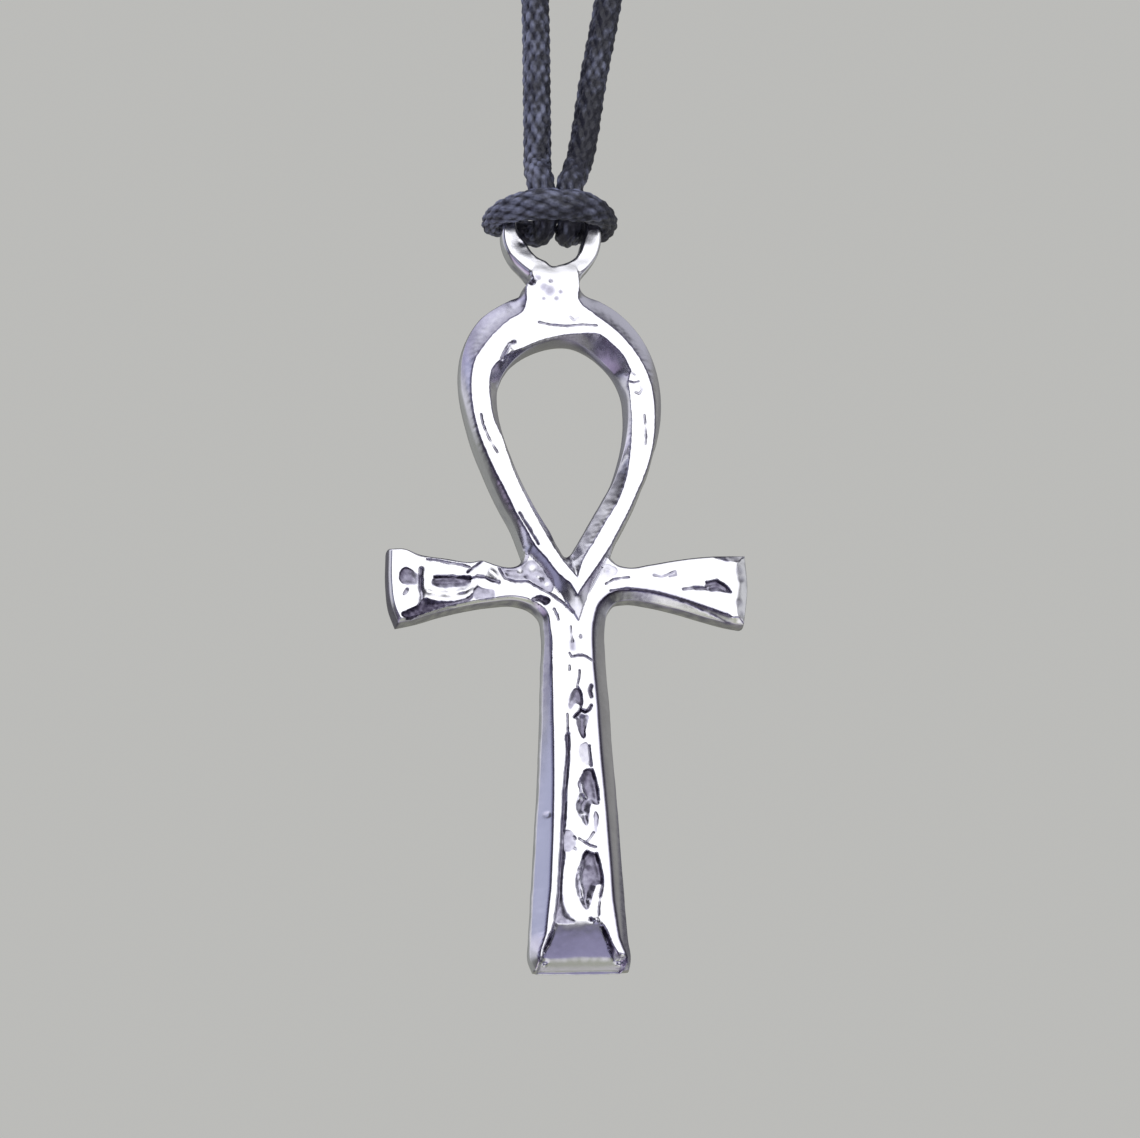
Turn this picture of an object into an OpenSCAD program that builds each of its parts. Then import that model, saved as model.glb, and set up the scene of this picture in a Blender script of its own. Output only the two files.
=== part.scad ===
// Ankh pendant, cast in one piece with its hanging ring and tied to a braided neck cord by a lark's head.
// Millimetres. The ankh faces -Y, and +Z is up. The origin is under the clasp, where the necklace hangs.

/* [Loop] */
// Height of the loop from the point of its V to its top
loop_h = 21.8; // [20:0.1:24]
// Width of the loop over its outer edges
loop_w = 13.6; // [12.6:0.1:16]
// Height of the eye
eye_h = 16; // [13:0.1:16.4]
// Width of the eye
eye_w = 9.6; // [7:0.1:10.2]
// How far the top of the eye lies under the top of the loop
eye_top_band = 2.7; // [2:0.1:3.5]
// How far the loop's face stands in front of the cross
loop_step = 0.3; // [0.1:0.05:0.6]

/* [Cross] */
// Height of the ankh from its foot to the top of the loop
ankh_h = 47; // [45:0.5:50]
// Span of the arms over both ends
arm_span = 24; // [20:0.5:30]
// Height of an arm where it meets the loop
arm_neck_h = 2.3; // [2:0.1:3.2]
// How far an arm's upper edge rises from its neck to its end
arm_rise = 0.8; // [0.2:0.1:1.6]
// How far an arm's lower edge drops from its neck to its end
arm_drop = 1.5; // [0.6:0.1:2.4]
// Height of the arms' middle line above the foot, at their necks
arm_z = 27.1; // [26:0.1:29]
// Width of the shaft under the arms
shaft_top_w = 3.9; // [3.4:0.1:5]
// Width of the shaft at its foot
shaft_foot_w = 6.5; // [5.5:0.1:8]
// How far the top of the hand-made shaft lies to the right of its foot
shaft_lean = 0.25; // [0:0.05:0.5]
// Thickness of the casting over its bevels
ankh_t = 2.8; // [2.4:0.1:4]
// Width of the bevel round the front
bevel_w = 0.4; // [0.3:0.05:0.6]
// Depth of the bevel round the front
bevel_d = 0.8; // [0.4:0.05:1]

/* [Relief] */
// Width of the raised border along each side of the shaft
border_w = 0.7; // [0.5:0.05:0.9]
// Depth of the sunk channel, and of the hollows in the arms
relief_d = 0.55; // [0.3:0.05:0.7]
// Width of a link's raised rim
rim_w = 0.45; // [0.35:0.05:0.6]
// Height from one link of the shaft's chain to the next
link_pitch = 5.8; // [5.4:0.1:6]
// Height of the slanted facet at the foot
facet_h = 2.8; // [2:0.1:3.4]
// How deep the slanted facet cuts into the foot
facet_d = 1.5; // [1:0.1:1.8]
// Length of the hollow in an arm
pocket_l = 3.8; // [3:0.1:4.4]

/* [Ring] */
// Diameter of the hanging ring over its wire
ring_d = 6.9; // [6.5:0.1:7.4]
// Thickness of the ring's wire
ring_wire = 1.25; // [1.1:0.05:1.4]
// Height of the ring's middle above the top of the loop
ring_rise = 4.6; // [4:0.1:5]
// Width of the neck under the ring
neck_w = 4.2; // [3.2:0.1:5.4]

/* [Cord] */
// Diameter of the braided cord
cord_d = 2; // [1.7:0.05:2.1]
// Length of the closing barrel
clasp_l = 12; // [10:0.5:16]
// Diameter of the closing barrel
clasp_d = 4.2; // [3.6:0.1:6]
// How deep each cord end sits in the barrel
clasp_seat = 4; // [3:0.5:4.5]
// Gap between the cord and the barrel's bores
cord_gap = 0.1; // [0.05:0.05:0.2]

/* [Hidden] */

// Outline of the loop from its top down: height, left and right, as shares of loop_h and of half loop_w
LOOP_OUTLINE = [
    [0.997, 0.16, 0.16],
    [0.975, 0.40, 0.40],
    [0.930, 0.65, 0.65],
    [0.860, 0.85, 0.85],
    [0.770, 0.96, 0.96],
    [0.680, 1.00, 1.00],
    [0.590, 0.98, 0.99],
    [0.500, 0.88, 0.91],
    [0.410, 0.77, 0.79],
    [0.300, 0.60, 0.64],
    [0.200, 0.43, 0.47],
    [0.110, 0.25, 0.30],
    [0.045, 0.09, 0.15]
];
// Outline of the eye from its top down: height, left and right, as shares of eye_h and of half eye_w
EYE_OUTLINE = [
    [0.995, 0.16, 0.17],
    [0.965, 0.42, 0.45],
    [0.915, 0.67, 0.70],
    [0.850, 0.86, 0.88],
    [0.750, 0.98, 0.98],
    [0.640, 0.98, 1.02],
    [0.530, 0.88, 0.98],
    [0.430, 0.75, 0.87],
    [0.340, 0.61, 0.75],
    [0.250, 0.45, 0.61],
    [0.160, 0.28, 0.46],
    [0.090, 0.14, 0.34],
    [0.030, 0.02, 0.21]
];
// Growth of an arm from its neck to its end: share of the arm's length, share of its rise and its drop
ARM_FLARE = [[0, 0], [0.25, 0.02], [0.45, 0.12], [0.65, 0.34], [0.82, 0.62], [1, 1]];
// Cast lumps on the neck: right of its middle, above the loop's top and radius, as shares of neck_w
NECK_LUMPS = [[-0.38, 0.13, 0.13], [0.08, 0.24, 0.11], [0.34, 0.15, 0.10]];
// Links of the chain from the foot up: length and width as shares of link_pitch and of the channel there
LINKS = [[1.06, 0.92], [1.06, 0.95], [0.80, 0.96]];
// Marks on the arms: place as a share of the arm, then height, length and width as shares of pocket_l
ARM_MARKS = [[0.50, 0.05, 0.60, 0.22], [0.94, 0.08, 0.20, 0.20]];

arm_l = arm_span / 2;
loop_z = ankh_h - loop_h;
eye_z = ankh_h - eye_top_band - eye_h;
// How far right of the middle line the loop's hand-made V points
point_x = 0.3;
face_y = -ankh_t / 2;
back_y = ankh_t / 2;
// Small bevel round the back
back_edge = 0.3;
// Overlap of raised relief with the ground under it
slice_t = 0.01;
// How far a cut reaches past the face it starts from
over = 1;
arc_sides = 64;
bar_sides = 8;
// Each arm's hollow: place along the arm, width, and how far under the arm's middle line it lies
pocket_place = 0.70;
pocket_w = 1.5;
pocket_drop = 0.4;
// The channel ends this far under the V
channel_top = loop_z - 1.6;
// How far the links' rims stay behind the borders
link_sink = 0.1;
// Middle of the lowest link above the foot's facet, as a share of link_pitch
link_start = 0.45;
// Width of the neck at the ring, as a share of its width at the loop
neck_taper = 0.84;
// How far the neck spreads where it sinks into the loop
neck_spread = 0.4;
lump_sink = 0.2;

// The ring hangs a little left of the ankh's middle line
ring_x = -0.35;
ring_z = ankh_h + ring_rise;
ring_r = (ring_d - ring_wire) / 2;

tube_sides = 8;
// Middle of the closing barrel, right of the ring and above it, and its bevel
clasp_x = 4.4;
clasp_rise = 214;
clasp_bevel = 0.4;
hang_z = ring_z + clasp_rise - clasp_d / 2;

// The hitch from the right strand through the ring, round its right side, over the front and back again.
// Its points lie right of, behind and above the ring's middle, and are as thick as a share of cord_d.
HITCH_ROUTE = [
    [2.4, 0, 5.8, 1],
    [2.4, -0.1, 5.3, 1],
    [2.3, -0.5, 4.7, 1],
    [2.1, -1.0, 4.1, 1],
    [1.8, -1.5, 3.4, 1],
    [1.5, -1.75, 2.6, 0.95],
    [1.3, -1.6, 1.6, 0.9],
    [1.2, -1.0, 0.8, 0.85],
    [1.2, 0, 0.4, 0.8],
    [1.3, 0.9, 0.4, 0.8],
    [1.9, 1.6, 0.7, 0.75],
    [2.9, 1.7, 1.0, 0.75],
    [3.8, 1.1, 1.1, 0.7],
    [4.1, 0.1, 1.2, 0.7],
    [3.9, -1.0, 1.4, 0.75],
    [3.3, -2.2, 1.6, 0.85],
    [2.3, -3.2, 1.7, 0.95],
    [1.2, -3.6, 1.8, 1],
    [0.1, -3.7, 1.8, 1],
    [-0.9, -3.6, 1.8, 1],
    [-2.0, -3.1, 1.7, 0.95],
    [-3.1, -2.2, 1.6, 0.85],
    [-3.9, -1.0, 1.4, 0.75],
    [-4.1, 0.1, 1.2, 0.7],
    [-3.8, 1.1, 1.1, 0.7],
    [-2.9, 1.7, 1.0, 0.75],
    [-1.8, 1.7, 0.7, 0.75],
    [-1.0, 1.1, 0.4, 0.8],
    [-0.7, 0.1, 0.4, 0.8],
    [-0.6, -0.9, 0.8, 0.85],
    [-0.6, -1.6, 1.6, 0.9],
    [-0.7, -1.8, 2.6, 0.95],
    [-0.8, -1.7, 3.4, 1],
    [-0.8, -1.2, 4.1, 1],
    [-0.8, -0.5, 4.7, 1],
    [-0.8, -0.1, 5.3, 1],
    [-0.8, 0, 5.8, 1]
];
// Each strand's round end lies on the swing's axis, this far above the ring's middle
swing_rise = 7.2;
// Each strand from there to the barrel: how far out of the straight line to the barrel's middle it lies,
// and its height as a share of the way up
LEFT_ROUTE = [
    [0.80, 0.000],
    [0.68, 0.018],
    [0.69, 0.043],
    [1.24, 0.101],
    [2.58, 0.178],
    [4.57, 0.265],
    [7.03, 0.371],
    [9.84, 0.487],
    [12.70, 0.613],
    [15.25, 0.739],
    [16.96, 0.855],
    [17.74, 0.942],
    [16.94, 0.964],
    [14.43, 0.983],
    [10.58, 0.996],
    [6.00, 1.000]
];
RIGHT_ROUTE = [
    [2.60, 0.000],
    [3.22, 0.018],
    [4.21, 0.043],
    [6.16, 0.101],
    [8.52, 0.178],
    [10.83, 0.265],
    [13.17, 0.371],
    [15.16, 0.487],
    [16.80, 0.613],
    [17.95, 0.739],
    [18.44, 0.855],
    [18.26, 0.942],
    [17.26, 0.964],
    [14.57, 0.983],
    [10.62, 0.996],
    [6.00, 1.000]
];

// A closed outline from a table of shares, which ends in a point
function outline(table, h, w, tip_x) = concat(
    [[0, h]],
    [for (row = table) [row[2] * w / 2, row[0] * h]],
    [[tip_x, 0]],
    [for (i = [len(table) - 1 : -1 : 0]) [-table[i][1] * w / 2, table[i][0] * h]]
);

function shaft_half(z) = (shaft_foot_w + (shaft_top_w - shaft_foot_w) * z / arm_z) / 2;

function shaft_x(z) = shaft_lean * z / arm_z;

function channel_half(z) = shaft_half(z) - bevel_w - border_w;

function link_z(i) = facet_h + link_pitch * (i + link_start);

function unit(v) = v / norm(v);

function place(row) = [row[0], row[1], row[2]];

function heading(route, i) = unit(
    place(route[min(i + 1, len(route) - 1)]) - place(route[max(i - 1, 0)])
);

// Each corner of a clockwise outline moved inwards by d
function inset(points, d) = [
    for (i = [0 : len(points) - 1])
        let (
            n = len(points),
            before = unit(points[i] - points[(i + n - 1) % n]),
            after = unit(points[(i + 1) % n] - points[i]),
            a = [before[1], -before[0]],
            b = [after[1], -after[0]]
        )
            points[i] + d * (a + b) / (1 + a * b)
];

function shifted(points, z) = [for (p = points) [p[0], p[1] + z]];

function ring_at(points, y) = [for (p = points) [p[0], y, p[1]]];

// Section of a bevelled bar from low to high: [depth, place], from its back edge round by the front
function bar_section(low, high) = [
    [back_y, low + back_edge / 2], [back_y - back_edge, low], [face_y + bevel_d, low],
    [face_y, low + bevel_w], [face_y, high - bevel_w], [face_y + bevel_d, high],
    [back_y - back_edge, high], [back_y, high - back_edge / 2]
];

// How far a point of a bar's end ring steps back for the bevel: only the front's two points do
function end_bevel(k) = k == 3 || k == 4 ? bevel_w : 0;

// The part of a direction that lies across a heading
function across(v, along) = unit(v - (v * along) * along);

// Points of one eight-sided ring
function ring_points(row, side, along) = [
    for (k = [0 : tube_sides - 1])
        let (a = 360 * k / tube_sides, r = row[3] * cord_d / 2)
            place(row) + r * (cos(a) * side + sin(a) * cross(along, side))
];

function tube_points(route) = [
    for (
        i = 0, side = across([0, 1, 0.1], heading(route, 0));
        i < len(route);
        i = i + 1, side = i < len(route) ? across(side, heading(route, i)) : side
    )
        each ring_points(route[i], side, heading(route, i))
];

// Faces between rings of points, each ring joined to the next one and round again
function side_faces(rings, sides) = [
    for (i = [0 : rings - 2], k = [0 : sides - 1])
        let (a = i * sides + k, b = i * sides + (k + 1) % sides)
            each [[a, a + sides, b], [b, a + sides, b + sides]]
];

module tube(route) {
    last = (len(route) - 1) * tube_sides;
    polyhedron(tube_points(route), concat(
        [[for (k = [0 : tube_sides - 1]) k]],
        side_faces(len(route), tube_sides),
        [[for (k = [tube_sides - 1 : -1 : 0]) last + k]]
    ));
}

// A bar from its rings of eight points, with both ends closed and bevelled in front
module bar(rings) {
    last = (len(rings) - 1) * bar_sides;
    polyhedron([for (ring = rings) each ring], concat(
        [[0, 1, 2, 5, 6, 7], [2, 3, 4, 5]],
        side_faces(len(rings), bar_sides),
        [[for (k = [7, 6, 5, 2, 1, 0]) last + k], [for (k = [5, 4, 3, 2]) last + k]]
    ));
}

// Turns a flat plan of the front into a slab that reaches back from y_front to y_back
module slab(y_front, y_back) {
    translate([0, y_back, 0]) rotate([90, 0, 0]) linear_extrude(y_back - y_front) children();
}

// A pointed oval, long side up
module lens(l, w) {
    r = (l * l + w * w) / (4 * w);
    intersection() {
        translate([w / 2 - r, 0]) circle(r, $fn = arc_sides);
        translate([r - w / 2, 0]) circle(r, $fn = arc_sides);
    }
}

module lens_rim(l, w, rim) {
    difference() {
        lens(l, w);
        lens(l - 3 * rim, w - 2 * rim);
    }
}

// The neck that joins the ring to the loop
module neck() {
    half = neck_w / 2;
    slab(face_y - loop_step + bevel_d / 2, back_y - back_edge) translate([ring_x, ankh_h]) polygon([
        [-half - neck_spread, -eye_top_band / 2], [half + neck_spread, -eye_top_band / 2],
        [half, 0], [half * neck_taper, ring_rise - ring_r],
        [-half * neck_taper, ring_rise - ring_r], [-half, 0]
    ]);
}

// The teardrop loop: a closed band of outlines from the back through the eye and round by the front
module loop() {
    outer = shifted(outline(LOOP_OUTLINE, loop_h, loop_w, point_x), loop_z);
    eye = shifted(outline(EYE_OUTLINE, eye_h, eye_w, point_x), eye_z);
    front = face_y - loop_step;
    rings = [
        ring_at(inset(eye, -back_edge / 2), back_y),
        ring_at(eye, back_y - back_edge),
        ring_at(eye, front + bevel_d),
        ring_at(inset(eye, -bevel_w), front),
        ring_at(inset(outer, bevel_w), front),
        ring_at(outer, front + bevel_d),
        ring_at(outer, back_y - back_edge),
        ring_at(inset(outer, back_edge / 2), back_y)
    ];
    n = len(outer);
    total = len(rings) * n;
    polyhedron([for (ring = rings) each ring], [
        for (face = side_faces(len(rings) + 1, n)) [for (k = [0 : 2]) face[k] % total]
    ]);
}

// Both arms as one bar, from the right end through the shaft to the left end
module arms() {
    last = len(ARM_FLARE) - 1;
    bar([
        for (i = [last : -1 : -last])
            let (
                row = ARM_FLARE[abs(i)],
                section = bar_section(
                    arm_z - arm_neck_h / 2 - arm_drop * row[1],
                    arm_z + arm_neck_h / 2 + arm_rise * row[1]
                )
            )
                [
                    for (k = [0 : bar_sides - 1])
                        [
                            sign(i) * (row[0] * arm_l - (abs(i) == last ? end_bevel(k) : 0)),
                            section[k][0], section[k][1]
                        ]
                ]
    ]);
}

module shaft() {
    bar([
        for (z = [0, arm_z])
            let (section = bar_section(shaft_x(z) - shaft_half(z), shaft_x(z) + shaft_half(z)))
                [
                    for (k = [0 : bar_sides - 1])
                        [section[k][1], section[k][0], z + (z == 0 ? end_bevel(k) : 0)]
                ]
    ]);
}

module channel_cut() {
    slab(face_y - over, face_y + relief_d) polygon([
        [shaft_x(0) - channel_half(0), 0], [shaft_x(0) + channel_half(0), 0],
        [shaft_x(channel_top) + channel_half(channel_top), channel_top],
        [shaft_x(channel_top) - channel_half(channel_top), channel_top]
    ]);
}

module foot_facet_cut() {
    intersection() {
        slab(face_y - over, face_y + facet_d + over) polygon([
            [-shaft_half(0) + bevel_w, -over], [shaft_half(0) - bevel_w, -over],
            [shaft_half(0) - bevel_w, 0],
            [shaft_x(facet_h) + channel_half(facet_h), facet_h],
            [shaft_x(facet_h) - channel_half(facet_h), facet_h],
            [-shaft_half(0) + bevel_w, 0]
        ]);
        translate([-shaft_foot_w, 0, 0]) rotate([90, 0, 90]) linear_extrude(2 * shaft_foot_w) polygon([
            [face_y - over, -over], [face_y + facet_d, -over], [face_y + facet_d, 0],
            [face_y + relief_d, facet_h], [face_y - over, facet_h]
        ]);
    }
}

module chain_links() {
    for (i = [0 : len(LINKS) - 1]) {
        w = 2 * channel_half(link_z(i)) * LINKS[i][1];
        slab(face_y + link_sink, face_y + relief_d + slice_t)
            translate([shaft_x(link_z(i)), link_z(i)]) lens_rim(link_pitch * LINKS[i][0], w, rim_w);
    }
}

module arm_hollows() {
    for (side = [-1, 1]) {
        slab(face_y - over, face_y + relief_d) translate([side * pocket_place * arm_l, arm_z - pocket_drop])
            rotate(90) lens(pocket_l - 1.5 * rim_w, pocket_w - rim_w);
        for (mark = ARM_MARKS)
            slab(face_y - over, face_y + relief_d / 2)
                translate([side * mark[0] * arm_l, arm_z + mark[1] * pocket_l])
                    rotate(90) lens(mark[2] * pocket_l, mark[3] * pocket_l);
    }
}

module arm_rims() {
    for (side = [-1, 1])
        slab(face_y - loop_step / 2, face_y + slice_t)
            translate([side * pocket_place * arm_l, arm_z - pocket_drop])
                rotate(90) lens_rim(pocket_l, pocket_w, rim_w / 2);
}

module ring() {
    translate([ring_x, 0, ring_z]) rotate([90, 0, 0]) rotate_extrude($fn = arc_sides)
        translate([ring_r, 0]) circle(ring_wire / 2, $fn = arc_sides / 2);
}

module neck_lumps() {
    for (lump = NECK_LUMPS)
        translate([ring_x + lump[0] * neck_w, face_y + lump_sink, ankh_h + lump[1] * neck_w])
            sphere(lump[2] * neck_w, $fn = arc_sides / 2);
}

module ankh() {
    color("silver") translate([0, 0, -hang_z]) {
        loop();
        neck();
        difference() {
            union() {
                arms();
                shaft();
            }
            channel_cut();
            foot_facet_cut();
            arm_hollows();
        }
        chain_links();
        arm_rims();
        ring();
        neck_lumps();
    }
}

module cord_hitch() {
    color("black") translate([ring_x, 0, ring_z - hang_z]) tube(HITCH_ROUTE);
}

// A strand on one side, with a round lower end on the swing's axis and its upper end seated in the barrel
module strand(route, side) {
    rise = clasp_rise - swing_rise;
    ends = [
        for (a = [60, 30])
            [side * route[0][0], 0, swing_rise - sin(a) * cord_d / 2, cos(a)]
    ];
    middle = [
        for (row = route)
            [side * row[0] + row[1] * clasp_x, 0, swing_rise + row[1] * rise, 1]
    ];
    seat = [clasp_x + side * (clasp_l / 2 - clasp_seat + cord_gap), 0, clasp_rise, 1];
    color("black") translate([ring_x, 0, ring_z - hang_z]) tube(concat(ends, middle, [seat]));
}

module cord_clasp() {
    half = clasp_l / 2;
    r = clasp_d / 2;
    bore = cord_d / 2 + cord_gap;
    color("dimgray") translate([ring_x + clasp_x, 0, ring_z + clasp_rise - hang_z]) rotate([0, 90, 0])
        rotate_extrude($fn = arc_sides) polygon([
            [0, clasp_seat - half], [bore, clasp_seat - half], [bore, -half], [r - clasp_bevel, -half],
            [r, clasp_bevel - half], [r, half - clasp_bevel], [r - clasp_bevel, half], [bore, half],
            [bore, half - clasp_seat], [0, half - clasp_seat]
        ]);
}

ankh();
cord_hitch();
strand(LEFT_ROUTE, -1);  // cord_left
strand(RIGHT_ROUTE, 1);  // cord_right
cord_clasp();
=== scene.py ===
"""An ankh pendant on its braided cord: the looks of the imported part, built around its frame."""
import math

import bmesh
import bpy
import numpy as np
from bpy.props import FloatProperty, FloatVectorProperty, IntProperty, PointerProperty
from mathutils import Matrix, Vector, geometry, kdtree, noise


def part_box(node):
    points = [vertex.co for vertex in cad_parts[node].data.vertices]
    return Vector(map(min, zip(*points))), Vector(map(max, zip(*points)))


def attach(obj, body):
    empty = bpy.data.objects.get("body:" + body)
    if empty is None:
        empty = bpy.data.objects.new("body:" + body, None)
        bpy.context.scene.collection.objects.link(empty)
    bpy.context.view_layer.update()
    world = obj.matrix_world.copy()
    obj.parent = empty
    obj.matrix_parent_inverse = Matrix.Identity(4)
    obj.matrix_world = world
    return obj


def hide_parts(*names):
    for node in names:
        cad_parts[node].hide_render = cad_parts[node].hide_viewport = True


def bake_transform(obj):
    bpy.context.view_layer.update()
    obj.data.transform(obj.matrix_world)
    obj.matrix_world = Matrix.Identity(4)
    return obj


bl_info = {
    "name": "Ankh pendant",
    "version": (1, 0, 0),
    "blender": (4, 5, 0),
    "location": "View3D > Sidebar > Pendant",
    "description": "Casts an ankh, ties it to a braided neck cord and sets up its studio",
    "category": "Object",
}

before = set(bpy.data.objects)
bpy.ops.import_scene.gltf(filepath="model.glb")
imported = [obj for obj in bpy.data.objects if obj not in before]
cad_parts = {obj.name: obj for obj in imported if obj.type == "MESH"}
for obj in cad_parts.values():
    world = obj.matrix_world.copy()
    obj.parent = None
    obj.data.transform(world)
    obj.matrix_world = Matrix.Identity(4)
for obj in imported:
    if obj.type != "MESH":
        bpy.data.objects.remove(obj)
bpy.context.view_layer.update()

MM = 0.001
FOOT_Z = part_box("ankh")[0].z
FAR = 1e9
SMALL = 1e-6
TINY = 1e-12


def table(text):
    """Rows of numbers from text that has a comma between its rows."""
    return np.array([row.split() for row in text.split(",")], float)


def starred(text):
    """A table with one more column: 1 in the rows that a star marks as corners, and 0 in the others."""
    return table(",".join(row.replace("*", " 1") if "*" in row else row + " 0" for row in text.split(",")))


def shapes(text):
    """Pairs of a head's numbers and the outline after its colon. A semicolon parts the pairs."""
    pairs = [part.split(":") for part in text.split(";")]
    return [(table(head)[0], starred(points)) for head, points in pairs]


# Every table is in millimetres from the foot and the middle line, where no other place is named.
# Outline of the casting, clockwise from the ring's right side: x, z, width and depth of the front bevel there
CASTING_OUTLINE = starred("""
1.62 48.6 0.3 0.5*, 1.4 47.9 0.3 0.6, 1.75 47.35 0.4 0.7, 2.89 46.8 0.8 0.85, 4.02 46.08 1 0.9,
5.02 45.1 1 0.9, 5.82 43.95 0.95 0.9, 6.4 42.6 0.85 0.9, 6.74 41.2 0.75 0.9, 6.86 39.9 0.7 0.9,
6.8 38.6 0.6 0.9, 6.57 37.3 0.5 0.8, 6.18 35.95 0.4 0.7, 5.66 34.4 0.32 0.6, 5.02 32.95 0.28 0.6,
4.36 31.55 0.26 0.6, 3.7 30.35 0.26 0.5, 3.12 29.25 0.3 0.5, 2.86 28.55 0.2 0.3*, 3.3 28.1 0.16 0.3,
4.12 27.86 0.14 0.3, 5.55 28.05 0.14 0.3, 7.34 28.36 0.14 0.3, 10 28.64 0.14 0.3, 12.26 28.66 0.72 0.36*,
12.36 26.4 0.86 0.42, 12.02 23.88 0.7 0.38*, 11.2 24.02 0.34 0.6, 9.35 24.52 0.46 0.7, 7.5 25.08 0.55 0.7,
5.7 25.5 0.6 0.7, 4.05 25.7 0.55 0.7, 3.15 25.5 0.6 0.8, 2.66 24.9 0.8 0.95, 2.44 23.8 0.95 1.1,
2.42 21.6 1.02 1.2, 2.56 18.2 0.98 1.2, 2.7 14.8 1 1.25, 2.88 11.4 0.98 1.25, 3.02 8 0.96 1.25,
3.16 4.7 0.98 1.25, 3.28 2.2 0.8 1.2, 3.4 0.7 0.45 1.1, 3.26 0.06 0.4 1*, 2.8 0.05 0.9 1, 0 0 1.1 1,
-2.7 0.05 0.9 0.9, -3.16 0.06 0.4 0.9*, -3.42 0.75 0.45 1.1, -3.32 2.6 0.85 1.2, -3.06 5.7 1 1.25,
-2.76 9.2 0.96 1.2, -2.42 12.9 0.8 1.15, -2.12 17.2 0.58 1, -1.92 20.9 0.42 0.85, -1.8 23.4 0.3 0.7,
-1.98 24.6 0.26 0.5, -2.6 25.22 0.2 0.35, -3.6 25.56 0.16 0.26, -5.3 25.5 0.16 0.26, -7.1 25.22 0.18 0.26,
-8.9 24.8 0.18 0.26, -10.6 24.3 0.18 0.28, -11.9 24.02 0.16 0.3*, -12.3 25.2 0.12 0.3,
-12.46 26.9 0.1 0.3, -12.38 29.16 0.1 0.3*, -11.4 29.18 0.12 0.3, -10.3 28.76 0.16 0.34,
-8.4 28.46 0.16 0.34, -6.8 28.24 0.14 0.34, -6.05 28.34 0.12 0.3, -5.1 28.06 0.14 0.34,
-4.5 27.9 0.16 0.34, -3.76 27.92 0.18 0.34, -3.2 28.28 0.2 0.36, -2.98 28.75 0.22 0.4*,
-3.26 29.6 0.3 0.5, -3.72 30.88 0.34 0.55, -4.4 32.23 0.34 0.6, -5.02 33.57 0.34 0.6,
-5.6 35.06 0.36 0.65, -6.15 36.56 0.42 0.7, -6.58 38.21 0.46 0.8, -6.88 39.71 0.5 0.85, -7 40.91 0.6 0.9,
-6.98 42.11 0.75 0.9, -6.72 43.45 0.95 0.9, -6.22 44.6 1.1 0.9, -5.4 45.65 1.2 0.9, -4.4 46.38 1.1 0.85,
-3.5 46.86 0.9 0.8, -2.72 47.24 0.55 0.7, -2.42 47.72 0.3 0.6, -2 48.3 0.3 0.5*
""")
# Edge of the eye, clockwise from its top: x, z, depth of the bevel that drops to it
EYE_OUTLINE = starred("""
0 44 0.5, 0.9 43.95 0.8, 2 43.48 1.3, 2.98 42.7 1.6, 3.76 41.76 1.5, 4.18 40.9 1, 4.38 40.2 0.4,
4.46 39.2 0.3, 4.44 38.2 0.35, 4.28 37 0.5, 3.86 35.4 0.52, 3.26 33.8 0.52, 2.62 32.65 0.54,
1.98 31.6 0.56, 1.24 30.35 0.6, 0.72 29.5 0.7, 0.24 28.82 1, -0.16 28.62 1, -0.7 29.2 0.7,
-1.3 30.25 0.35, -1.98 31.4 0.3, -2.66 32.7 0.3, -3.35 34.2 0.3, -3.9 35.7 0.3, -4.3 37 0.4,
-4.54 38.3 0.7, -4.62 39.4 0.9, -4.52 40.6 1, -4.16 41.55 0.8, -3.5 42.4 0.5, -2.64 43.1 0.35,
-1.76 43.56 0.3, -0.86 43.86 0.3
""")
# Hole of the hanging ring, round above and filled with metal to a V below: x, z
RING_HOLE = starred("""
-0.42 54.16, 0.68 53.92, 1.5 53.22, 1.92 52.4, 1.92 51.7, 1.66 50.95, 1.46 50.36, 1.12 49.9, 0.6 49.56,
0.02 49.36, -0.5 49.26, -0.92 49.62, -1.48 49.92, -1.86 50.34, -2.16 50.84, -2.6 51.45, -2.86 52.15,
-2.8 52.85, -2.36 53.42, -1.5 53.96
""")
RING_MIDDLE = (-0.40, 51.60)
RING_RADIUS = 3.50
# Outer border of the loop's bright face, clockwise from the neck: x, z
LOOP_FACE = starred("""
-1.5 49.4, 0.9 49.4, 1.3 47.9, 1.2 46.75, 2.31 45.66, 3.6 44.66, 4.65 43.55, 5.45 42.32, 5.95 41.08,
6.2 39.7, 6.22 38.2, 6.1 36.84, 5.8 35.49, 5.32 34.15, 4.76 32.95, 4.12 31.61, 3.46 30.42, 2.78 29.22,
2.14 28.26, 1.5 27.36, 0.8 26.42, 0.4 25.8*, 0.02 26.5, -0.77 27.18, -1.76 28.5, -2.37 29.2, -2.96 30.3,
-3.62 31.5, -4.26 32.93, -4.9 34.27, -5.54 35.75, -6.06 37.24, -6.36 38.6, -6.5 40.15, -6.42 41.38,
-6.18 42.36, -5.56 43.34, -4.6 44.46, -3.72 45.24, -2.7 45.92, -2.45 46.7, -2.42 47.6, -2.05 48.5
""")
# Inner border of the loop's bright face, clockwise from its top: x, z
EYE_FACE = starred("""
-0.86 43.98, 0.1 44.18, 1.3 44.28, 2.62 44.22, 3.46 43.54, 4.16 42.79, 4.7 41.6*, 4.46 40.95, 4.5 40.2,
4.56 39.3, 4.6 38.1, 4.52 36.9, 4.32 35.2, 3.9 33.5, 3.28 32.1, 2.54 30.96, 1.62 29.42, 0.84 28.18,
0.56 27.4, 0.44 26.98*, 0.1 27.38, -0.6 28.3, -1.3 29.45, -2.1 30.92, -2.8 32.34, -3.46 33.8, -4.02 35.4,
-4.46 36.9, -4.96 38.1, -5.17 39.4, -5.22 40.7, -4.98 41.8, -4.36 42.44, -3.62 42.9, -2.74 43.28,
-1.8 43.7
""")
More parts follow.
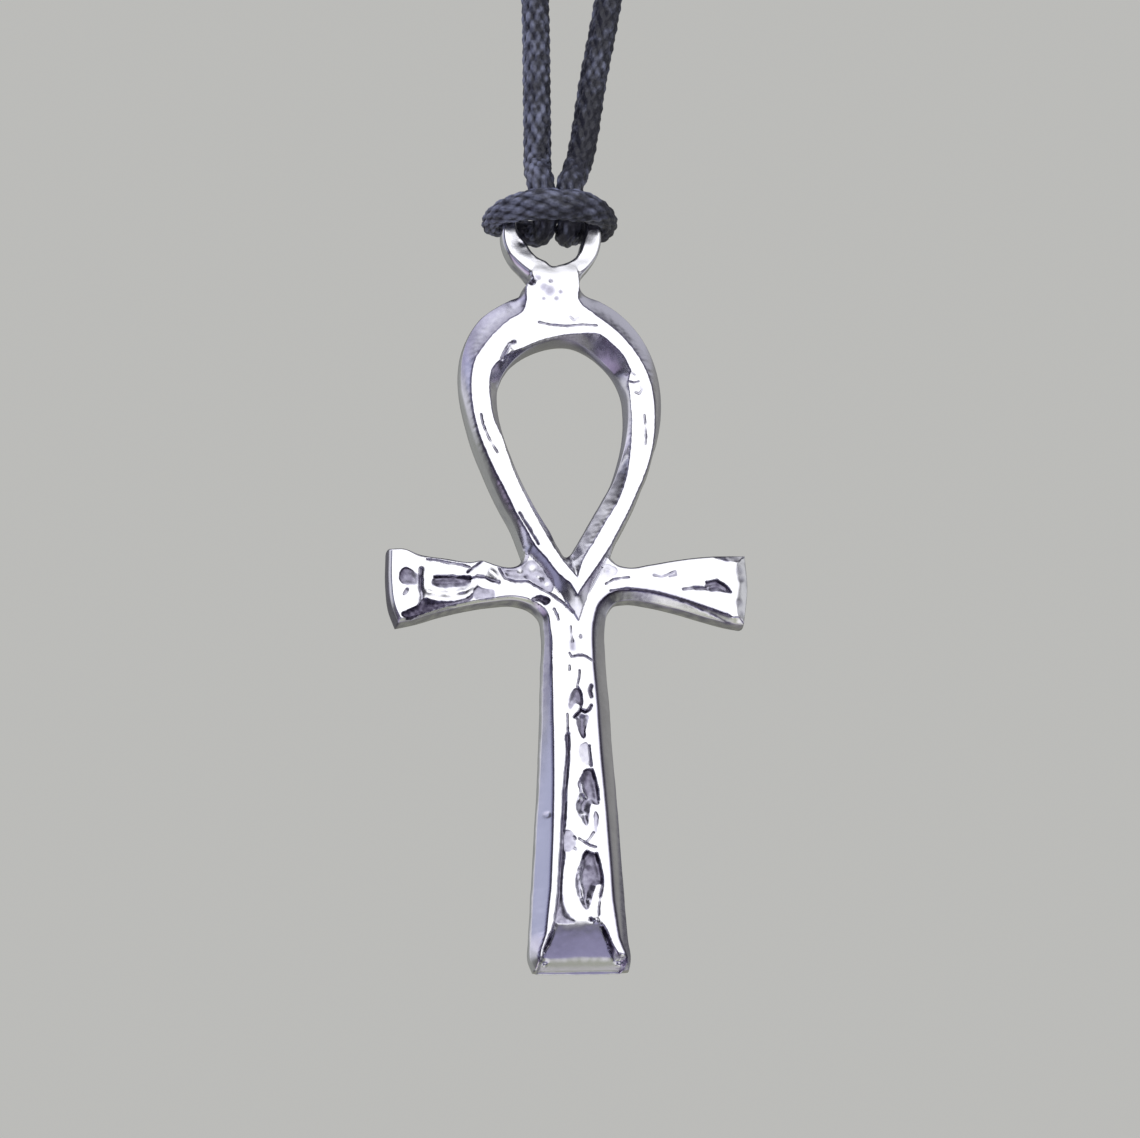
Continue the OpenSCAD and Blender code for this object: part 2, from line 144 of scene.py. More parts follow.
# Where the sloping band round the loop meets the cross, a wide shape with its V at the bottom: x, z
LOOP_FOOT = starred("""
-9 50*, 9 50*, 9 33*, 3 29.1*, 2.63 28.44, 1.78 26.86, 1.02 25.5, 0.47 24.06*, -0.2 25.18, -1.14 26.46,
-2.09 27.92, -2.62 28.5, -3.05 29*, -9 33*
""")
# The foot's facet, from its top down: z, x of its left edge, x of its right edge
FOOT_FACET = table("""
5 -1.6 1.45, 3.4 -1.86 1.28, 2.9 -1.98 1.4, 2.34 -2.14 1.66, 1.43 -2.6 1.98, 0.85 -2.74 2.4,
0.55 -2.92 2.8, -1 -3.1 3
""")
# Hollows with a hard edge: depth, tarnish, the side (right, up) toward which painted shade darkens the
# hollow, and the outline's x and z
HOLLOWS = shapes("""
0.14 0.52 0.8 0.3: -0.47 18.09, -0.3 18.93, 0.13 19.35, 0.36 19.3, 0.53 18.74, 0.46 18.09, 0.09 18.23,
-0.39 17.76;
0.18 0.46 0 -0.8: -0.01 17.5, 0.36 17.59, 0.87 17.45, 0.69 16.43, 0.53 15.82, 0.27 16.24, 0.06 16.9;
0.07 0.2 0.3 0.6: 0.74 15.57, 0.27 15.38, 0.15 14.73, 0.41 14.08, 0.95 13.8, 0.91 15.2;
0.22 0.5 0.4 0.7: 0.6 13.7, 1 13.72, 1.26 12.81, 1.42 11.9, 1.36 11.2, 1.02 11.3, 0.78 10.6, 0.5 9.75,
0.15 10.22, -0.15 10.82, -0.18 11.33, 0.1 12.1, 0.02 12.72, 0.25 13.2;
0.1 0.3 0.5 0.5: 1.02 9.55, 1.26 10.75, 1.3 9.8, 1.12 9.2;
0.08 0.3 -0.6 0.2: -0.95 9.5, -0.5 9.45, -0.2 8.75, -0.52 8.05, -0.95 8;
0.24 0.52 0.5 0.7: 0.47 8.04, 0 7.26, -0.3 6.52, -0.42 5.6, -0.18 4.68, 0.39 3.98, 0.66 4.4, 0.86 5.2,
1.14 5.72, 1.47 5.77, 1.39 6.88, 1.13 7.81;
0.15 0.52 -0.3 0.5: -0.6 16.1, -0.5 15, -0.5 14.1, -0.58 13.2, -0.74 12, -0.76 11, -0.82 10.2, -0.98 9.3,
-0.98 8.3, -0.96 7.6, -1.12 6.9, -1.22 6, -1.24 5, -1.1 4.2, -0.82 3.6, -0.46 3.2, -1.1 3, -1.86 3.2,
-1.7 4.4, -1.6 5.6, -1.45 7.4, -1.28 9.3, -1.12 11.1, -1 12.5, -0.9 13.1, -0.8 14, -0.7 15;
0.15 0.52 -0.6 0.6: -11.69 26.72, -11.76 27.43, -11.44 27.79, -10.8 27.55, -10.48 27.26, -10.48 26.63,
-11.22 26.54;
0.2 0.52 0.1 0.9: -9.63 26.63, -9.36 27.12, -8.21 27.12, -6.81 26.99, -7 26.63, -8.24 26.34, -9.2 26.34;
0.22 0.7 -0.4 -0.2: -10.2 25.62, -9.4 25.5, -8.25 25.44, -7 25.84, -6.7 26.02, -6.8 25.6, -7.9 25.16,
-8.9 24.98, -10.28 24.52, -11.4 24.18, -11.7 24.4, -10.56 25.2;
0.09 0.38 -0.3 0.4: -6.72 25.66, -6.55 26.42, -5.9 26.32, -5.24 26.12, -5.2 25.76;
0.1 0.34 0.2 -0.2: -4.9 27.8, -4.52 27.06, -3.82 26.9, -2.94 26.88, -2.16 26.44, -1.4 25.98, -1.14 26.44,
-2.09 27.9, -2.66 28.34, -3.6 27.86;
0.3 0.74 0.7 0.1: -2.8 25.5, -2.4 25.84, -1.9 25.8, -1.4 25.45, -1.78 25.12, -2.24 25.38;
0.2 0.58 0.4 0.6: 9.3 26.42, 9.6 26.78, 10.19 26.88, 10.79 26.5, 11.12 26.06, 10.24 26.08, 9.53 26.1;
0.06 0.12 0.3 0.3: 2.3 28.06, 2.86 27.98, 3.34 27.53, 2.82 27.1, 2.16 26.84, 1.86 26.66, 2.04 27.3
""")
# Fine lines: depth into the metal (raised if below 0), half width, tarnish, and the x and z that each follows
LINES = shapes("""
0.07 0.055 0.45: -1.62 45.09, -0.85 44.91, 0.35 44.82, 1.44 44.92, 2.4 44.86;
0.07 0.09 0.35: 0.56 45.48, 0.85 45.24, 1.1 45.42;
0.14 0.1 0.5: -3.39 43.64, -3.75 43.5, -4.06 42.9, -4.3 42.45;
-0.1 0.16 0: -3.7 43.1, -3.95 42.6, -4.25 42.05;
0.07 0.045 0.6: 4.5 40.9, 4.85 40.8, 5.2 40.88;
0.04 0.07 0.22: 5.3 40.6, 5.4 40.3, 5.2 40.02, 4.95 40.1;
0.05 0.05 0.3: 4.45 41.45, 4.7 41.52, 4.95 41.34;
0.08 0.055 0.4: -5.88 38.5, -5.76 37.8, -5.38 36.8, -4.82 35.8;
0.06 0.05 0.3: 5.51 38.5, 5.56 37.3, 5.52 36.4;
0.12 0.055 0.8: -3.42 31.52, -2.91 30.63, -2.52 29.95, -2.18 29.34;
0.12 0.065 0.55: -9.84 28.36, -9.13 28.3, -8.26 28.09, -7.47 27.98, -6.95 27.8;
0.14 0.06 0.9: -7.08 27.46, -6.6 27.82, -6.06 28.22;
0.15 0.13 0.62: -10.26 27.66, -10.34 27.17, -10.34 26.45, -10.28 25.74, -10.42 25.2;
0.1 0.08 0.3: -11.5 25.92, -11.27 26.27;
0.16 0.06 0.9: -9.4 27.13, -8.21 27.15, -6.9 27, -6.46 27.12, -5.93 27.08, -5.41 26.83, -4.93 26.7;
-0.1 0.2 0: -9.9 26.1, -9.2 25.98, -8.25 25.92, -7.3 26.16, -6.6 26.62;
-0.12 0.3 0: -6.3 27.52, -5.8 27.72, -5.25 27.3, -4.95 27.02;
0.12 0.06 0.6: -4.94 27.8, -4.5 27, -3.82 26.81, -2.94 26.81, -2.16 26.36, -1.3 25.87, -0.52 25.29,
0.1 24.62;
0.04 0.075 0.4: 5.8 27.26, 6.37 27.13, 6.82 27.31, 7.32 27.54, 7.36 27.27, 6.91 27.18;
0.1 0.1 0.64: 7.85 26.28, 8.57 26.37, 9.45 26.3;
0.12 0.065 0.8: 9.47 26.74, 10.19 26.88, 10.79 26.49, 11.12 26.06;
0.07 0.055 0.5: 2.45 26.63, 3 26.95, 3.53 27.04, 4.06 27.08;
0.09 0.06 0.75: 2.75 26.16, 3.86 26.3, 5.45 26.14, 6.86 25.8, 8.08 25.36, 9.83 24.62, 11.1 23.98;
0.08 0.055 0.35: -1.19 24.88, -1.02 24.5, -0.92 24.13;
0.08 0.05 0.4: -0.08 23.66, -0.07 23.1, 0.02 22.6;
0.08 0.09 0.5: 0.6 23.02, 0.6 22.88;
0.05 0.2 0.42: 0.03 22.55, 0.01 22.1;
0.12 0.055 0.55: -0.23 21.78, -0.1 21.52, 0.27 21.6, 0.64 21.64, 0.92 21.55, 1.3 21.28;
0.08 0.06 0.25: -0.25 20.9, -0.27 20.6;
0.08 0.05 0.5: 0.42 20.57, 0.35 20.01, 0.2 19.45;
0.14 0.06 0.92: 0.26 19.42, 0.47 18.91, 0.5 18.44, 0.39 17.83;
0.18 0.075 1: -0.05 17.3, 0.19 17.55, 0.43 17.79, 0.7 17.67, 0.99 17.78, 1.14 18.11;
0.12 0.095 0.76: 1.18 19.51, 1.08 19.18, 1.18 18.72;
0.1 0.055 0.55: -0.53 17.53, -0.54 16.88, -0.55 16.04;
0.1 0.125 0.58: -0.56 16.1, -0.56 15.2, -0.66 14.1, -0.8 13.2, -0.9 12.2, -0.97 11.2, -1.08 10, -1.17 8.8,
-1.3 7.4, -1.44 6, -1.55 4.9, -1.68 3.9, -1.92 2.9, -2.36 1.8;
0.1 0.06 0.55: 0.9 15.3, 0.93 14.6, 1.02 13.9;
0.16 0.07 1: 1.06 13.66, 1.22 13, 1.36 12.3, 1.42 11.6;
-0.12 0.11 0: 0.3 12.6, 0.36 12.1, 0.6 11.7;
0.1 0.06 0.52: -0.02 8.9, 0.3 8.7, 0.72 8.42, 1.11 8.32;
0.07 0.07 0.34: 0.42 8.6, 0.75 8.95, 1 9.3;
0.07 0.09 0.42: -0.36 8.99, -0.3 8.9;
0.07 0.09 0.38: -0.36 8.24, -0.26 8.14;
0.16 0.09 1: 0.5 7.98, 0.28 7.62;
0.18 0.07 1: 1.13 7.84, 1.34 7.1, 1.46 6.3, 1.46 5.6, 1.3 4.9;
-0.14 0.11 0: -0.02 7, -0.08 6.3, 0.06 5.5, 0.12 4.9;
0.1 0.055 0.6: 1.3 4.9, 1.18 4.2, 1.14 3.6;
0.12 0.08 0.8: 0.58 3.36, 0.62 3.26;
0.16 0.08 1: 1.4 2.8, 1.66 2.3, 1.98 1.5, 2.3 0.75;
0.12 0.08 0.8: -2.02 2.6, -2.3 2, -2.62 1.3
""")
# Round pits and grains of the casting: x, z, radius, depth (raised if below 0), tarnish
GRAINS = table("""
-1.24 46.78 0.12 0.05 0.5, -0.34 46.8 0.16 0.05 0.45, -0.04 47.26 0.14 0.05 0.45,
-0.8 47.35 0.36 0.06 0.42, -1.2 47.6 0.26 0.05 0.36, -2 47.98 0.2 0.16 0.8, -0.7 48.05 0.14 0.08 0.4,
-1.6 48.3 0.2 0.06 0.3, -2.5 50.9 0.2 0.06 0.25, -2.43 0.56 0.2 -0.02 0, 2.66 0.56 0.26 -0.03 0,
2.84 0.1 0.12 0.1 0.8, -2.1 10.6 0.2 -0.1 0, 0.96 3.28 0.16 -0.14 0, -2.62 27.75 0.26 -0.02 0,
-2.2 27.12 0.14 -0.02 0, -1.64 26.62 0.2 -0.02 0, -3.45 27.52 0.18 -0.02 0, -1.95 26.95 0.1 0.1 0.8,
-3.05 27.2 0.12 0.08 0.6, -4.3 27.42 0.16 0.06 0.4, 0.02 27.85 0.16 0.08 0.3, 2.6 27.55 0.2 0.03 0.26,
11.8 27.6 0.3 0.02 0.16, 11.95 27 0.24 0.02 0.18, 11.7 25.3 0.3 0.02 0.18, 11.85 24.6 0.24 0.02 0.15,
0.18 11.6 0.2 -0.03 0.1, 0.35 10.6 0.16 -0.03 0.1, 0.62 6.9 0.18 0.08 0.8, 0.45 4.6 0.16 -0.03 0.1
""")
# The hitch from the left strand through the ring and back up the right one, from the ring's middle:
# right, back, up, and thickness as a share of the cord's
HITCH_PATH = table("""
-0.72 0 5.8 1, -0.75 -0.1 5.3 1, -0.8 -0.5 4.7 1, -0.8 -1.2 4.1 1, -0.8 -1.7 3.4 1, -0.7 -1.8 2.6 0.95,
-0.55 -1.6 1.6 0.9, -0.52 -0.9 0.8 0.88, -0.6 0.1 0.4 0.84, -1 1.1 0.6 0.9, -1.8 1.6 1.05 0.85,
-2.9 1.62 1.25 0.75, -3.8 1.1 1.15 0.7, -4.12 0.1 1.2 0.7, -4 -1 1.3 0.72, -3.2 -2.25 1.4 0.93,
-2 -3 1.5 1.08, -0.9 -3.5 1.5 1.14, 0.1 -3.6 1.42 1.1, 1.2 -3.5 1.4 1.15, 2.3 -3.05 1.3 1.06,
3.3 -2.1 1.15 0.88, 3.97 -1 1 0.66, 4.08 0.1 0.85 0.6, 3.8 1.1 0.75 0.66, 2.9 1.62 0.95 0.75,
1.9 1.6 0.85 0.85, 1.3 0.9 0.4 0.8, 1.12 0 0.4 0.84, 1.2 -1 0.8 0.88, 1.2 -1.6 1.6 0.9,
1.2 -1.75 2.6 0.95, 1.25 -1.5 3.4 1, 1.6 -1 4.1 1, 1.86 -0.5 4.7 1, 2.1 -0.1 5.3 1, 2.28 0 5.8 1
""")
# Each strand from the swing's axis up to the barrel, from the ring's middle: right, up
LEFT_STRAND = table("""
-0.68 7.2, -0.6 11, -0.5 16, -0.8 28, -1.8 44, -3.4 62, -5.4 84, -7.7 108, -10 134, -12 160, -13.2 184,
-13.6 202, -12.7 206.6, -10.1 210.5, -6.2 213.1, -1.6 214, 2.2 214
""")
RIGHT_STRAND = table("""
2.6 7.2, 3.3 11, 4.4 16, 6.6 28, 9.3 44, 12 62, 14.8 84, 17.3 108, 19.5 134, 21.2 160, 22.2 184, 22.4 202,
21.5 206.6, 18.9 210.5, 15 213.1, 10.4 214, 6.6 214
""")
CORD_RING = (-0.35, 0.0, 51.6)
# Height over the ring's middle where the knot's mesh ends
NEAR_RISE = 24.0

# Mesh of the casting: steps along its edge and between the sheets' points, and the rows that follow the edge
EDGE_STEP = 0.11
FRONT_SPACING = 0.105
FRONT_ROWS = (0.03, 0.07, 0.13, 0.20, 0.29, 0.38)
BACK_SPACING = 0.34
BACK_ROWS = (0.05, 0.16, 0.32)
FINE_SPACING = 0.052
FINE_REACH = 0.13
WALL_ROWS = (0.12, 0.3, 0.5, 0.7, 0.88)
# Share of the spacing that a sheet's inner points keep from its rows and its fine points
GRID_GAP = 0.6
# Depth below its surroundings at which a point of the casting counts as wholly hollow
HOLLOW_FULL = 0.05
# Heights where the relief of the neck fades and the ring's round wire begins
NECK_TOP = 47.7
WIRE_START = 47.5
# Space from one ring of the cord's mesh to the next, and points in a ring
KNOT_MESH = (0.11 * MM, 56)
STRAND_MESH = (0.22 * MM, 36)
PATH_STEP = 0.25


def unit(vectors):
    """Each vector of an array, brought to a length of 1."""
    return vectors / np.maximum(np.linalg.norm(vectors, axis=-1, keepdims=True), TINY)


def eased(value):
    """0 below 0, 1 above 1, and smooth between them."""
    value = np.clip(value, 0, 1)
    return value * value * (3 - 2 * value)


def hump(value, middle, width):
    """1 at a middle value, and smoothly down to nothing about two widths from it."""
    return np.exp(-(((value - middle) / width) ** 2))


def rounded(distance, wire, power=2):
    """A rounded edge's height at a distance from it: 0 at the edge, and 1 from a wire's width inward."""
    fall = np.clip(1 - distance / wire, 0, 1)
    return np.sqrt(np.maximum(1 - fall**power, 0))


def hermite(t, start, leaving, end, arriving, span):
    """Points on the smooth curve that leaves one place and arrives at another with given slopes."""
    return (
        (2 * t**3 - 3 * t**2 + 1) * start
        + (t**3 - 2 * t**2 + t) * leaving * span
        + (3 * t**2 - 2 * t**3) * end
        + (t**3 - t**2) * arriving * span
    )


def traced(rows, step):
    """Even points on a smooth closed curve through rows of x, z, what they carry, and 1 at a corner."""
    rows = np.array(rows, float)
    points = rows[:, :2]
    ahead = np.roll(points, -1, 0) - points
    gap = np.linalg.norm(ahead, axis=1)
    forward = unit(ahead)
    behind = np.roll(forward, 1, 0)
    smooth = unit(forward * np.roll(gap, 1)[:, None] + behind * gap[:, None])
    corner = rows[:, -1:] > 0.5
    leaving = np.where(corner, forward, smooth)
    arriving = np.roll(np.where(corner, behind, smooth), -1, 0)
    made = []
    for i, length in enumerate(gap):
        count = max(1, round(length / step))
        t = (np.arange(count) / count)[:, None]
        j = (i + 1) % len(rows)
        place = hermite(t, points[i], leaving[i], points[j], arriving[i], length)
        made.append(np.hstack([place, rows[i, 2:-1] * (1 - t) + rows[j, 2:-1] * t]))
    return np.vstack(made)


def inside(points, loop):
    """Which points lie inside a closed loop."""
    found = np.zeros(len(points), bool)
    ends = np.roll(loop, -1, 0)
    for (x0, z0), (x1, z1) in zip(loop[:, :2], ends[:, :2]):
        if z0 == z1:
            continue
        crosses = (z0 > points[:, 1]) != (z1 > points[:, 1])
        found ^= crosses & (points[:, 0] < x0 + (points[:, 1] - z0) / (z1 - z0) * (x1 - x0))
    return found


def to_line(points, line, closed=False):
    """Distance from each point to a line of points."""
    best = np.full(len(points), FAR)
    ends = np.roll(line, -1, 0) if closed else line[1:]
    for a, b in zip(line, ends):
        along = b - a
        t = np.clip((points - a) @ along / max(along @ along, TINY), 0, 1)
        best = np.minimum(best, np.linalg.norm(points - a - t[:, None] * along, axis=1))
    return best


def rough(points, scale, seed):
    """Smooth noise from -1 to 1 with features about scale wide. Each use has a seed of its own."""
    flat = np.zeros((len(points), 3))
    flat[:, : points.shape[1]] = points / scale
    flat += seed * 17.31
    return np.array([noise.noise(Vector(p)) for p in flat])


def tree_of(points):
    """A search tree of points in the casting's plane."""
    tree = kdtree.KDTree(len(points))
    for i, p in enumerate(points):
        tree.insert((p[0], p[1], 0), i)
    tree.balance()
    return tree


class Edge:
    """The casting's outline with its holes: even points, the way into the metal, and each point's bevel."""

    def __init__(self, loops, step):
        self.loops, self.starts = [], []
        for rows, side in loops:
            loop = traced(rows, step)
            tangent = unit(np.roll(loop[:, :2], -1, 0) - np.roll(loop[:, :2], 1, 0))
            inward = np.stack([tangent[:, 1], -tangent[:, 0]], 1) * side
            self.starts.append(sum(len(x) for x in self.loops))
            self.loops.append(np.hstack([loop, inward]))
        self.points = np.vstack(self.loops)
        self.place, self.inward = self.points[:, :2], self.points[:, -2:]
        self.tree = tree_of(self.points)
        following = [np.roll(np.arange(len(x)), -1) + start for x, start in zip(self.loops, self.starts)]
        self.after = np.concatenate(following)

    def near(self, points):
        """Distance of each point from the edge, and the number of the nearest edge point."""
        number = np.array([self.tree.find((x, z, 0))[1] for x, z in points], int)
        distance = np.full(len(points), FAR)
        before = np.argsort(self.after)
        for first, second in ((number, self.after[number]), (before[number], number)):
            a, b = self.place[first], self.place[second]
            along = b - a
            share = np.clip(((points - a) * along).sum(1) / np.maximum((along * along).sum(1), TINY), 0, 1)
            distance = np.minimum(distance, np.linalg.norm(points - a - share[:, None] * along, axis=1))
        return distance, number

    def holds(self, points):
        """Which points lie in the metal."""
        found = inside(points, self.loops[0])
        for hole in self.loops[1:]:
            found &= ~inside(points, hole)
        return found

    def clear(self, points, away):
        """The points that lie in the metal and further than this from its edge."""
        held = points[self.holds(points)]
        return held[self.near(held)[0] > away]

    def grid(self, spacing):
        """Points of a triangular grid over the whole casting."""
        low, high = self.place.min(0), self.place.max(0)
        across = np.arange(low[0], high[0], spacing)
        up = np.arange(low[1], high[1], spacing * math.sqrt(0.75))
        grid = np.stack(np.meshgrid(across, up), -1)
        grid[1::2, :, 0] += spacing / 2
        return grid.reshape(-1, 2)


def sheet_of(edge, rows, spacing, extra=None):
    """A flat triangulated sheet inside an edge: its points, with the edge's own first, and its triangles."""
    kept = [edge.place] + [edge.clear(edge.place + edge.inward * row, 0.96 * row) for row in rows]
    grid = edge.clear(edge.grid(spacing), rows[-1] + spacing * GRID_GAP)
    if extra is not None:
        extra = edge.clear(extra, 0.04)
        tree = tree_of(extra)
        kept.append(extra)
        grid = grid[[tree.find((x, z, 0))[2] > spacing * GRID_GAP for x, z in grid]]
    points = np.vstack([*kept, grid])
    ties = [(i, int(j)) for i, j in enumerate(edge.after)]
    found = geometry.delaunay_2d_cdt([Vector(p) for p in points], ties, [], 0, SMALL)
    places = np.array([tuple(p) for p in found[0]])
    number = np.array([ids[0] if ids else -1 for ids in found[3]])
    triangles = np.array(found[2])
    middle = places[triangles].mean(1)
    return points, number[triangles[edge.holds(middle)]]


def near_box(points, shape, reach):
    """Numbers of the points within reach of a shape's box."""
    low, high = shape.min(0) - reach, shape.max(0) + reach
    return np.flatnonzero(((points > low) & (points < high)).all(1))


def within(points, rows, step=0.25):
    """How deep each point lies inside a smooth closed outline, and below 0 how far it lies outside."""
    outline = traced(rows, step)
    distance = to_line(points, outline, closed=True)
    return np.where(inside(points, outline), distance, -distance)


def band(drop, start, share):
    """A shallow groove where a sloping band begins, then the band's own convex fall."""
    return 0.05 * eased(start / 0.05) + drop * (0.72 * share + 0.28 * share**2.4)


def relief(points):
    """How deep the hollows, lines and grains go, their tarnish with painted shade on one side of each hollow,
    and where flat grains level the front.
    """
    x, z = points[:, 0], points[:, 1]
    sunk = np.zeros(len(points))
    tarnish_and_shade = np.zeros(len(points))
    level = []
    shake = rough(points, 0.22, 11)
    wear = np.clip(0.85 + 0.8 * rough(points, 0.6, 12), 0.25, 1.2)
    for (depth, dark, *side), outline in HOLLOWS:
        shape = outline[:, :2]
        near = near_box(points, shape, 0.1)
        into = within(points[near], outline, 0.15) + 0.045 * shake[near]
        size = (shape.max(0) - shape.min(0)) / 2 + 0.1
        lean = ((points[near] - shape.mean(0)) / size) @ np.array(side)
        sharp = 0.50 * np.clip(0.35 + lean, 0.08, 1)
        sunk[near] += depth * (eased(into / 0.10 + 0.2) * sharp + (1 - sharp) * eased(into / 0.5))
        # Painted shade: each hollow is darker toward the side its row gives, with a dark rim there and a
        # softer edge on the far side, over its own tarnish
        rim = 0.30 * hump(into, 0, 0.10) * np.clip(lean * 1.6, 0, 1)
        soft = 0.08 + 0.14 * np.clip(0.3 - lean, 0, 1)
        shade = dark * (1 + 0.45 * np.clip(lean, -1, 1) + 0.3 * shake[near]) + rim
        tarnish_and_shade[near] = np.maximum(tarnish_and_shade[near], shade * eased(into / soft + 0.3))
    for (depth, half, dark), line in LINES:
        shape = line[:, :2]
        near = near_box(points, shape, half * 3)
        away = np.maximum(to_line(points[near], shape) + 0.03 * shake[near], 0)
        share = hump(away, 0, half) * wear[near]
        sunk[near] += depth * share
        fade = 1 - 0.8 * share if dark == 0 else 1.0
        tarnish_and_shade[near] = np.maximum(tarnish_and_shade[near] * fade, dark * np.clip(share * 1.3, 0, 1))
    for px, pz, radius, depth, dark in GRAINS:
        away = ((x - px) ** 2 + (z - pz) ** 2) / radius**2
        share = np.exp(-(away**1.5))
        sunk += depth * share
        tarnish_and_shade = np.maximum(tarnish_and_shade * (1 - (0.9 * share if depth < 0 else 0)), dark * share)
        if -0.05 < depth < 0:
            level.append((away.argmin(), eased((1.5 - np.sqrt(away) + 0.2 * shake) / 1.1)))
    return sunk, tarnish_and_shade, level


def front_of(points, edge, sizes):
    """The front surface's y at points in the outline, and its tarnish with painted shade in it."""
    x, z = points[:, 0], points[:, 1]
    distance, number = edge.near(points)
    width, depth = edge.points[number, 2], edge.points[number, 3]
    arm_end = eased((x - 10.8) / 0.4)
    width = width * (1 + 0.30 * arm_end * rough(points, 0.9, 14))
    at_eye = (number >= edge.starts[1]) & (number < edge.starts[2])
    half = sizes.thickness / MM / 2
    step = sizes.loop_step / MM
    away = 9.0
    sunk, tarnish_and_shade, level = relief(points)
    shake = rough(points, 0.25, 13)

    # The raised loop: its bright face, the band that slopes outward, and the bevel that drops into the eye.
    # Points nearest the eye's edge count as away from the outer edge, and the others as away from the eye's.
    face = within(points, LOOP_FACE) + 0.03 * shake
    foot = np.maximum(within(points, LOOP_FOOT), 0)
    eye = -within(points, EYE_FACE) + 0.03 * shake
    outer = np.where(at_eye, away, distance)
    out = np.maximum(-face, 0)
    rest = np.maximum(np.minimum(outer, foot), 0)
    share = np.clip(out / np.maximum(out + rest, SMALL), 0, 1)
    open_band = eased((outer - foot) / 0.3 + 0.5)
    drop = 0.95 * (1 - open_band) + (step + 0.16) * open_band
    drop = drop * (0.35 + 0.65 * eased((z - 24.6) / 2.4))
    loop_y = np.where(out > 0, band(drop, out, share), 0.0)
    into_eye = np.maximum(-eye, 0)
    eye_share = np.clip(into_eye / np.maximum(into_eye + np.where(at_eye, distance, away), SMALL), 0, 1)
    eye_depth = np.where(at_eye, depth, 0.3)
    loop_y += np.where(into_eye > 0, 0.05 * eased(into_eye / 0.05) + eye_depth * eye_share**1.15, 0.0)
    loop_y -= step
    line = hump(-face, 0.04, 0.055) * (foot > 0.05) * 0.75
    line = np.maximum(line, hump(-eye, 0.03, 0.05) * 0.5 * eased((eye_depth - 0.35) / 0.2))

    # The cross: bevels along its edge, and the facet that falls to the foot
    height, left, right = FOOT_FACET[::-1].T
    across = np.minimum(x - np.interp(z, height, left), np.interp(z, height, right) - x)
    facet = eased(across / 0.12 + 0.5) * (np.clip((3.35 - z) / 2.7, 0, 1.25) ** 1.25) * 1.18
    on_facet = eased(across / 0.12 + 0.5) * eased((2.6 - z) / 0.6)
    soft = np.maximum(0.4 * arm_end, on_facet)
    bevel = np.clip(distance / width, 0, 1)
    cross_y = facet + depth * (1 - bevel) ** (1.15 + 0.8 * soft)
    cross_y = cross_y + 0.06 * eased((width - distance) / 0.06) * (1 - np.maximum(arm_end, on_facet))
    thick = 0.06 + 0.055 * eased(x)
    edge_line = hump(width - distance, 0.04, thick) * eased((width - 0.24) / 0.15) * 0.85
    edge_line *= (1 - on_facet) * (1 - arm_end)

    # Both together, with the flat grains, the hollows and the casting's unevenness
    on_loop = foot > 0
    y = np.where(on_loop, loop_y, cross_y)
    for middle, spot in level:
        y += (y[middle] - 0.05 - y) * spot
    y += sunk - half
    y += 0.055 * rough(points, 3.2, 1) + 0.026 * rough(points, 1.2, 2) + 0.009 * rough(points, 0.4, 3)
    limit = half - 0.9 + 0.35 * on_facet
    y = np.minimum(y, limit + 0.3 * np.maximum(y - limit, 0))

    # Tarnish and painted shade: dark lines beside the faces, wider on the right; the facet and the band a
    # little darker; painted shade on the loop's upper-left band, lighter along its middle as a painted
    # highlight; painted shade in the eye's top pocket, under the right arm and on the left flank below the
    # left arm
    # Painted shade on the loop's upper-left outer band, kept lighter along its middle as a painted highlight
    streak = 0.30 * eased((z - 40) / 3) * eased(-x / 2) * (0.7 + 0.8 * np.abs(share - 0.45) + 0.2 * shake)
    # Painted shade in the top of the eye, under the loop's top
    pocket = 0.24 * eased((z - 40.5) / 1.5) + 0.22 * eased((z - 42.4) / 0.8)
    # Painted shade on the bevel under the right arm (under) and on the left flank below the left arm (flank)
    past = eased((width - distance) / 0.1)
    under = past * eased((x - 2.6) / 0.4) * eased((6.4 - x) / 1.4) * (z < 27)
    flank = past * eased((-1 - x) / 0.3) * eased((z - 16.5) / 3.5) * (z < 25)
    painted = np.max([
        np.where(on_loop, line, edge_line),
        0.18 * eased(facet / 0.25) * (1 - 0.3 * bevel),
        (0.16 * open_band + streak * (1 - open_band)) * (out > 0.05) * on_loop,
        pocket * at_eye * eased(into_eye / 0.1),
        0.40 * under * (1 + 0.5 * shake),
        0.24 * flank * (1 + 0.4 * shake),
    ], axis=0)
    shine = np.max([spot for _, spot in level], axis=0)
    tarnish_and_shade = np.maximum(tarnish_and_shade, painted * (1 - 0.9 * shine) * (1 - eased((z - NECK_TOP) / 1.1)))

    # The hanging ring's round wire takes over above the neck
    fill = 0.42 * eased((-1.5 - x) / 0.9) * eased((50.3 - z) / 0.9)
    wire = np.where(number < edge.starts[1], 0.30 + fill, 0.22)
    height = 1.14 + 0.14 * eased((53.4 - z) / 1.6) + 0.54 * eased((51.4 - z) / 4.0)
    round_y = -height * (0.52 + 0.48 * rounded(distance, wire, 4.0)) + 0.05 * rough(points, 1.1, 4) + sunk
    ring = eased((z - WIRE_START) / 1.8)
    return y * (1 - ring) + round_y * ring, tarnish_and_shade


def back_of(points, edge, sizes):
    """The back surface's y: nearly flat, softly rounded at its edge, and left plain."""
    distance, _ = edge.near(points)
    z = points[:, 1]
    y = sizes.thickness / MM / 2 - 0.3 * (1 - rounded(distance, 0.4))
    y += 0.03 * rough(points, 2.6, 5) + 0.012 * rough(points, 0.7, 6)
    ring = eased((z - NECK_TOP) / 1.3)
    wire = 0.50 + 0.42 * eased((51.6 - z) / 2.4)
    round_y = (0.82 + 0.5 * eased((50.5 - z) / 3.0)) * rounded(distance, wire, 2.4)
    return y * (1 - ring) + round_y * ring


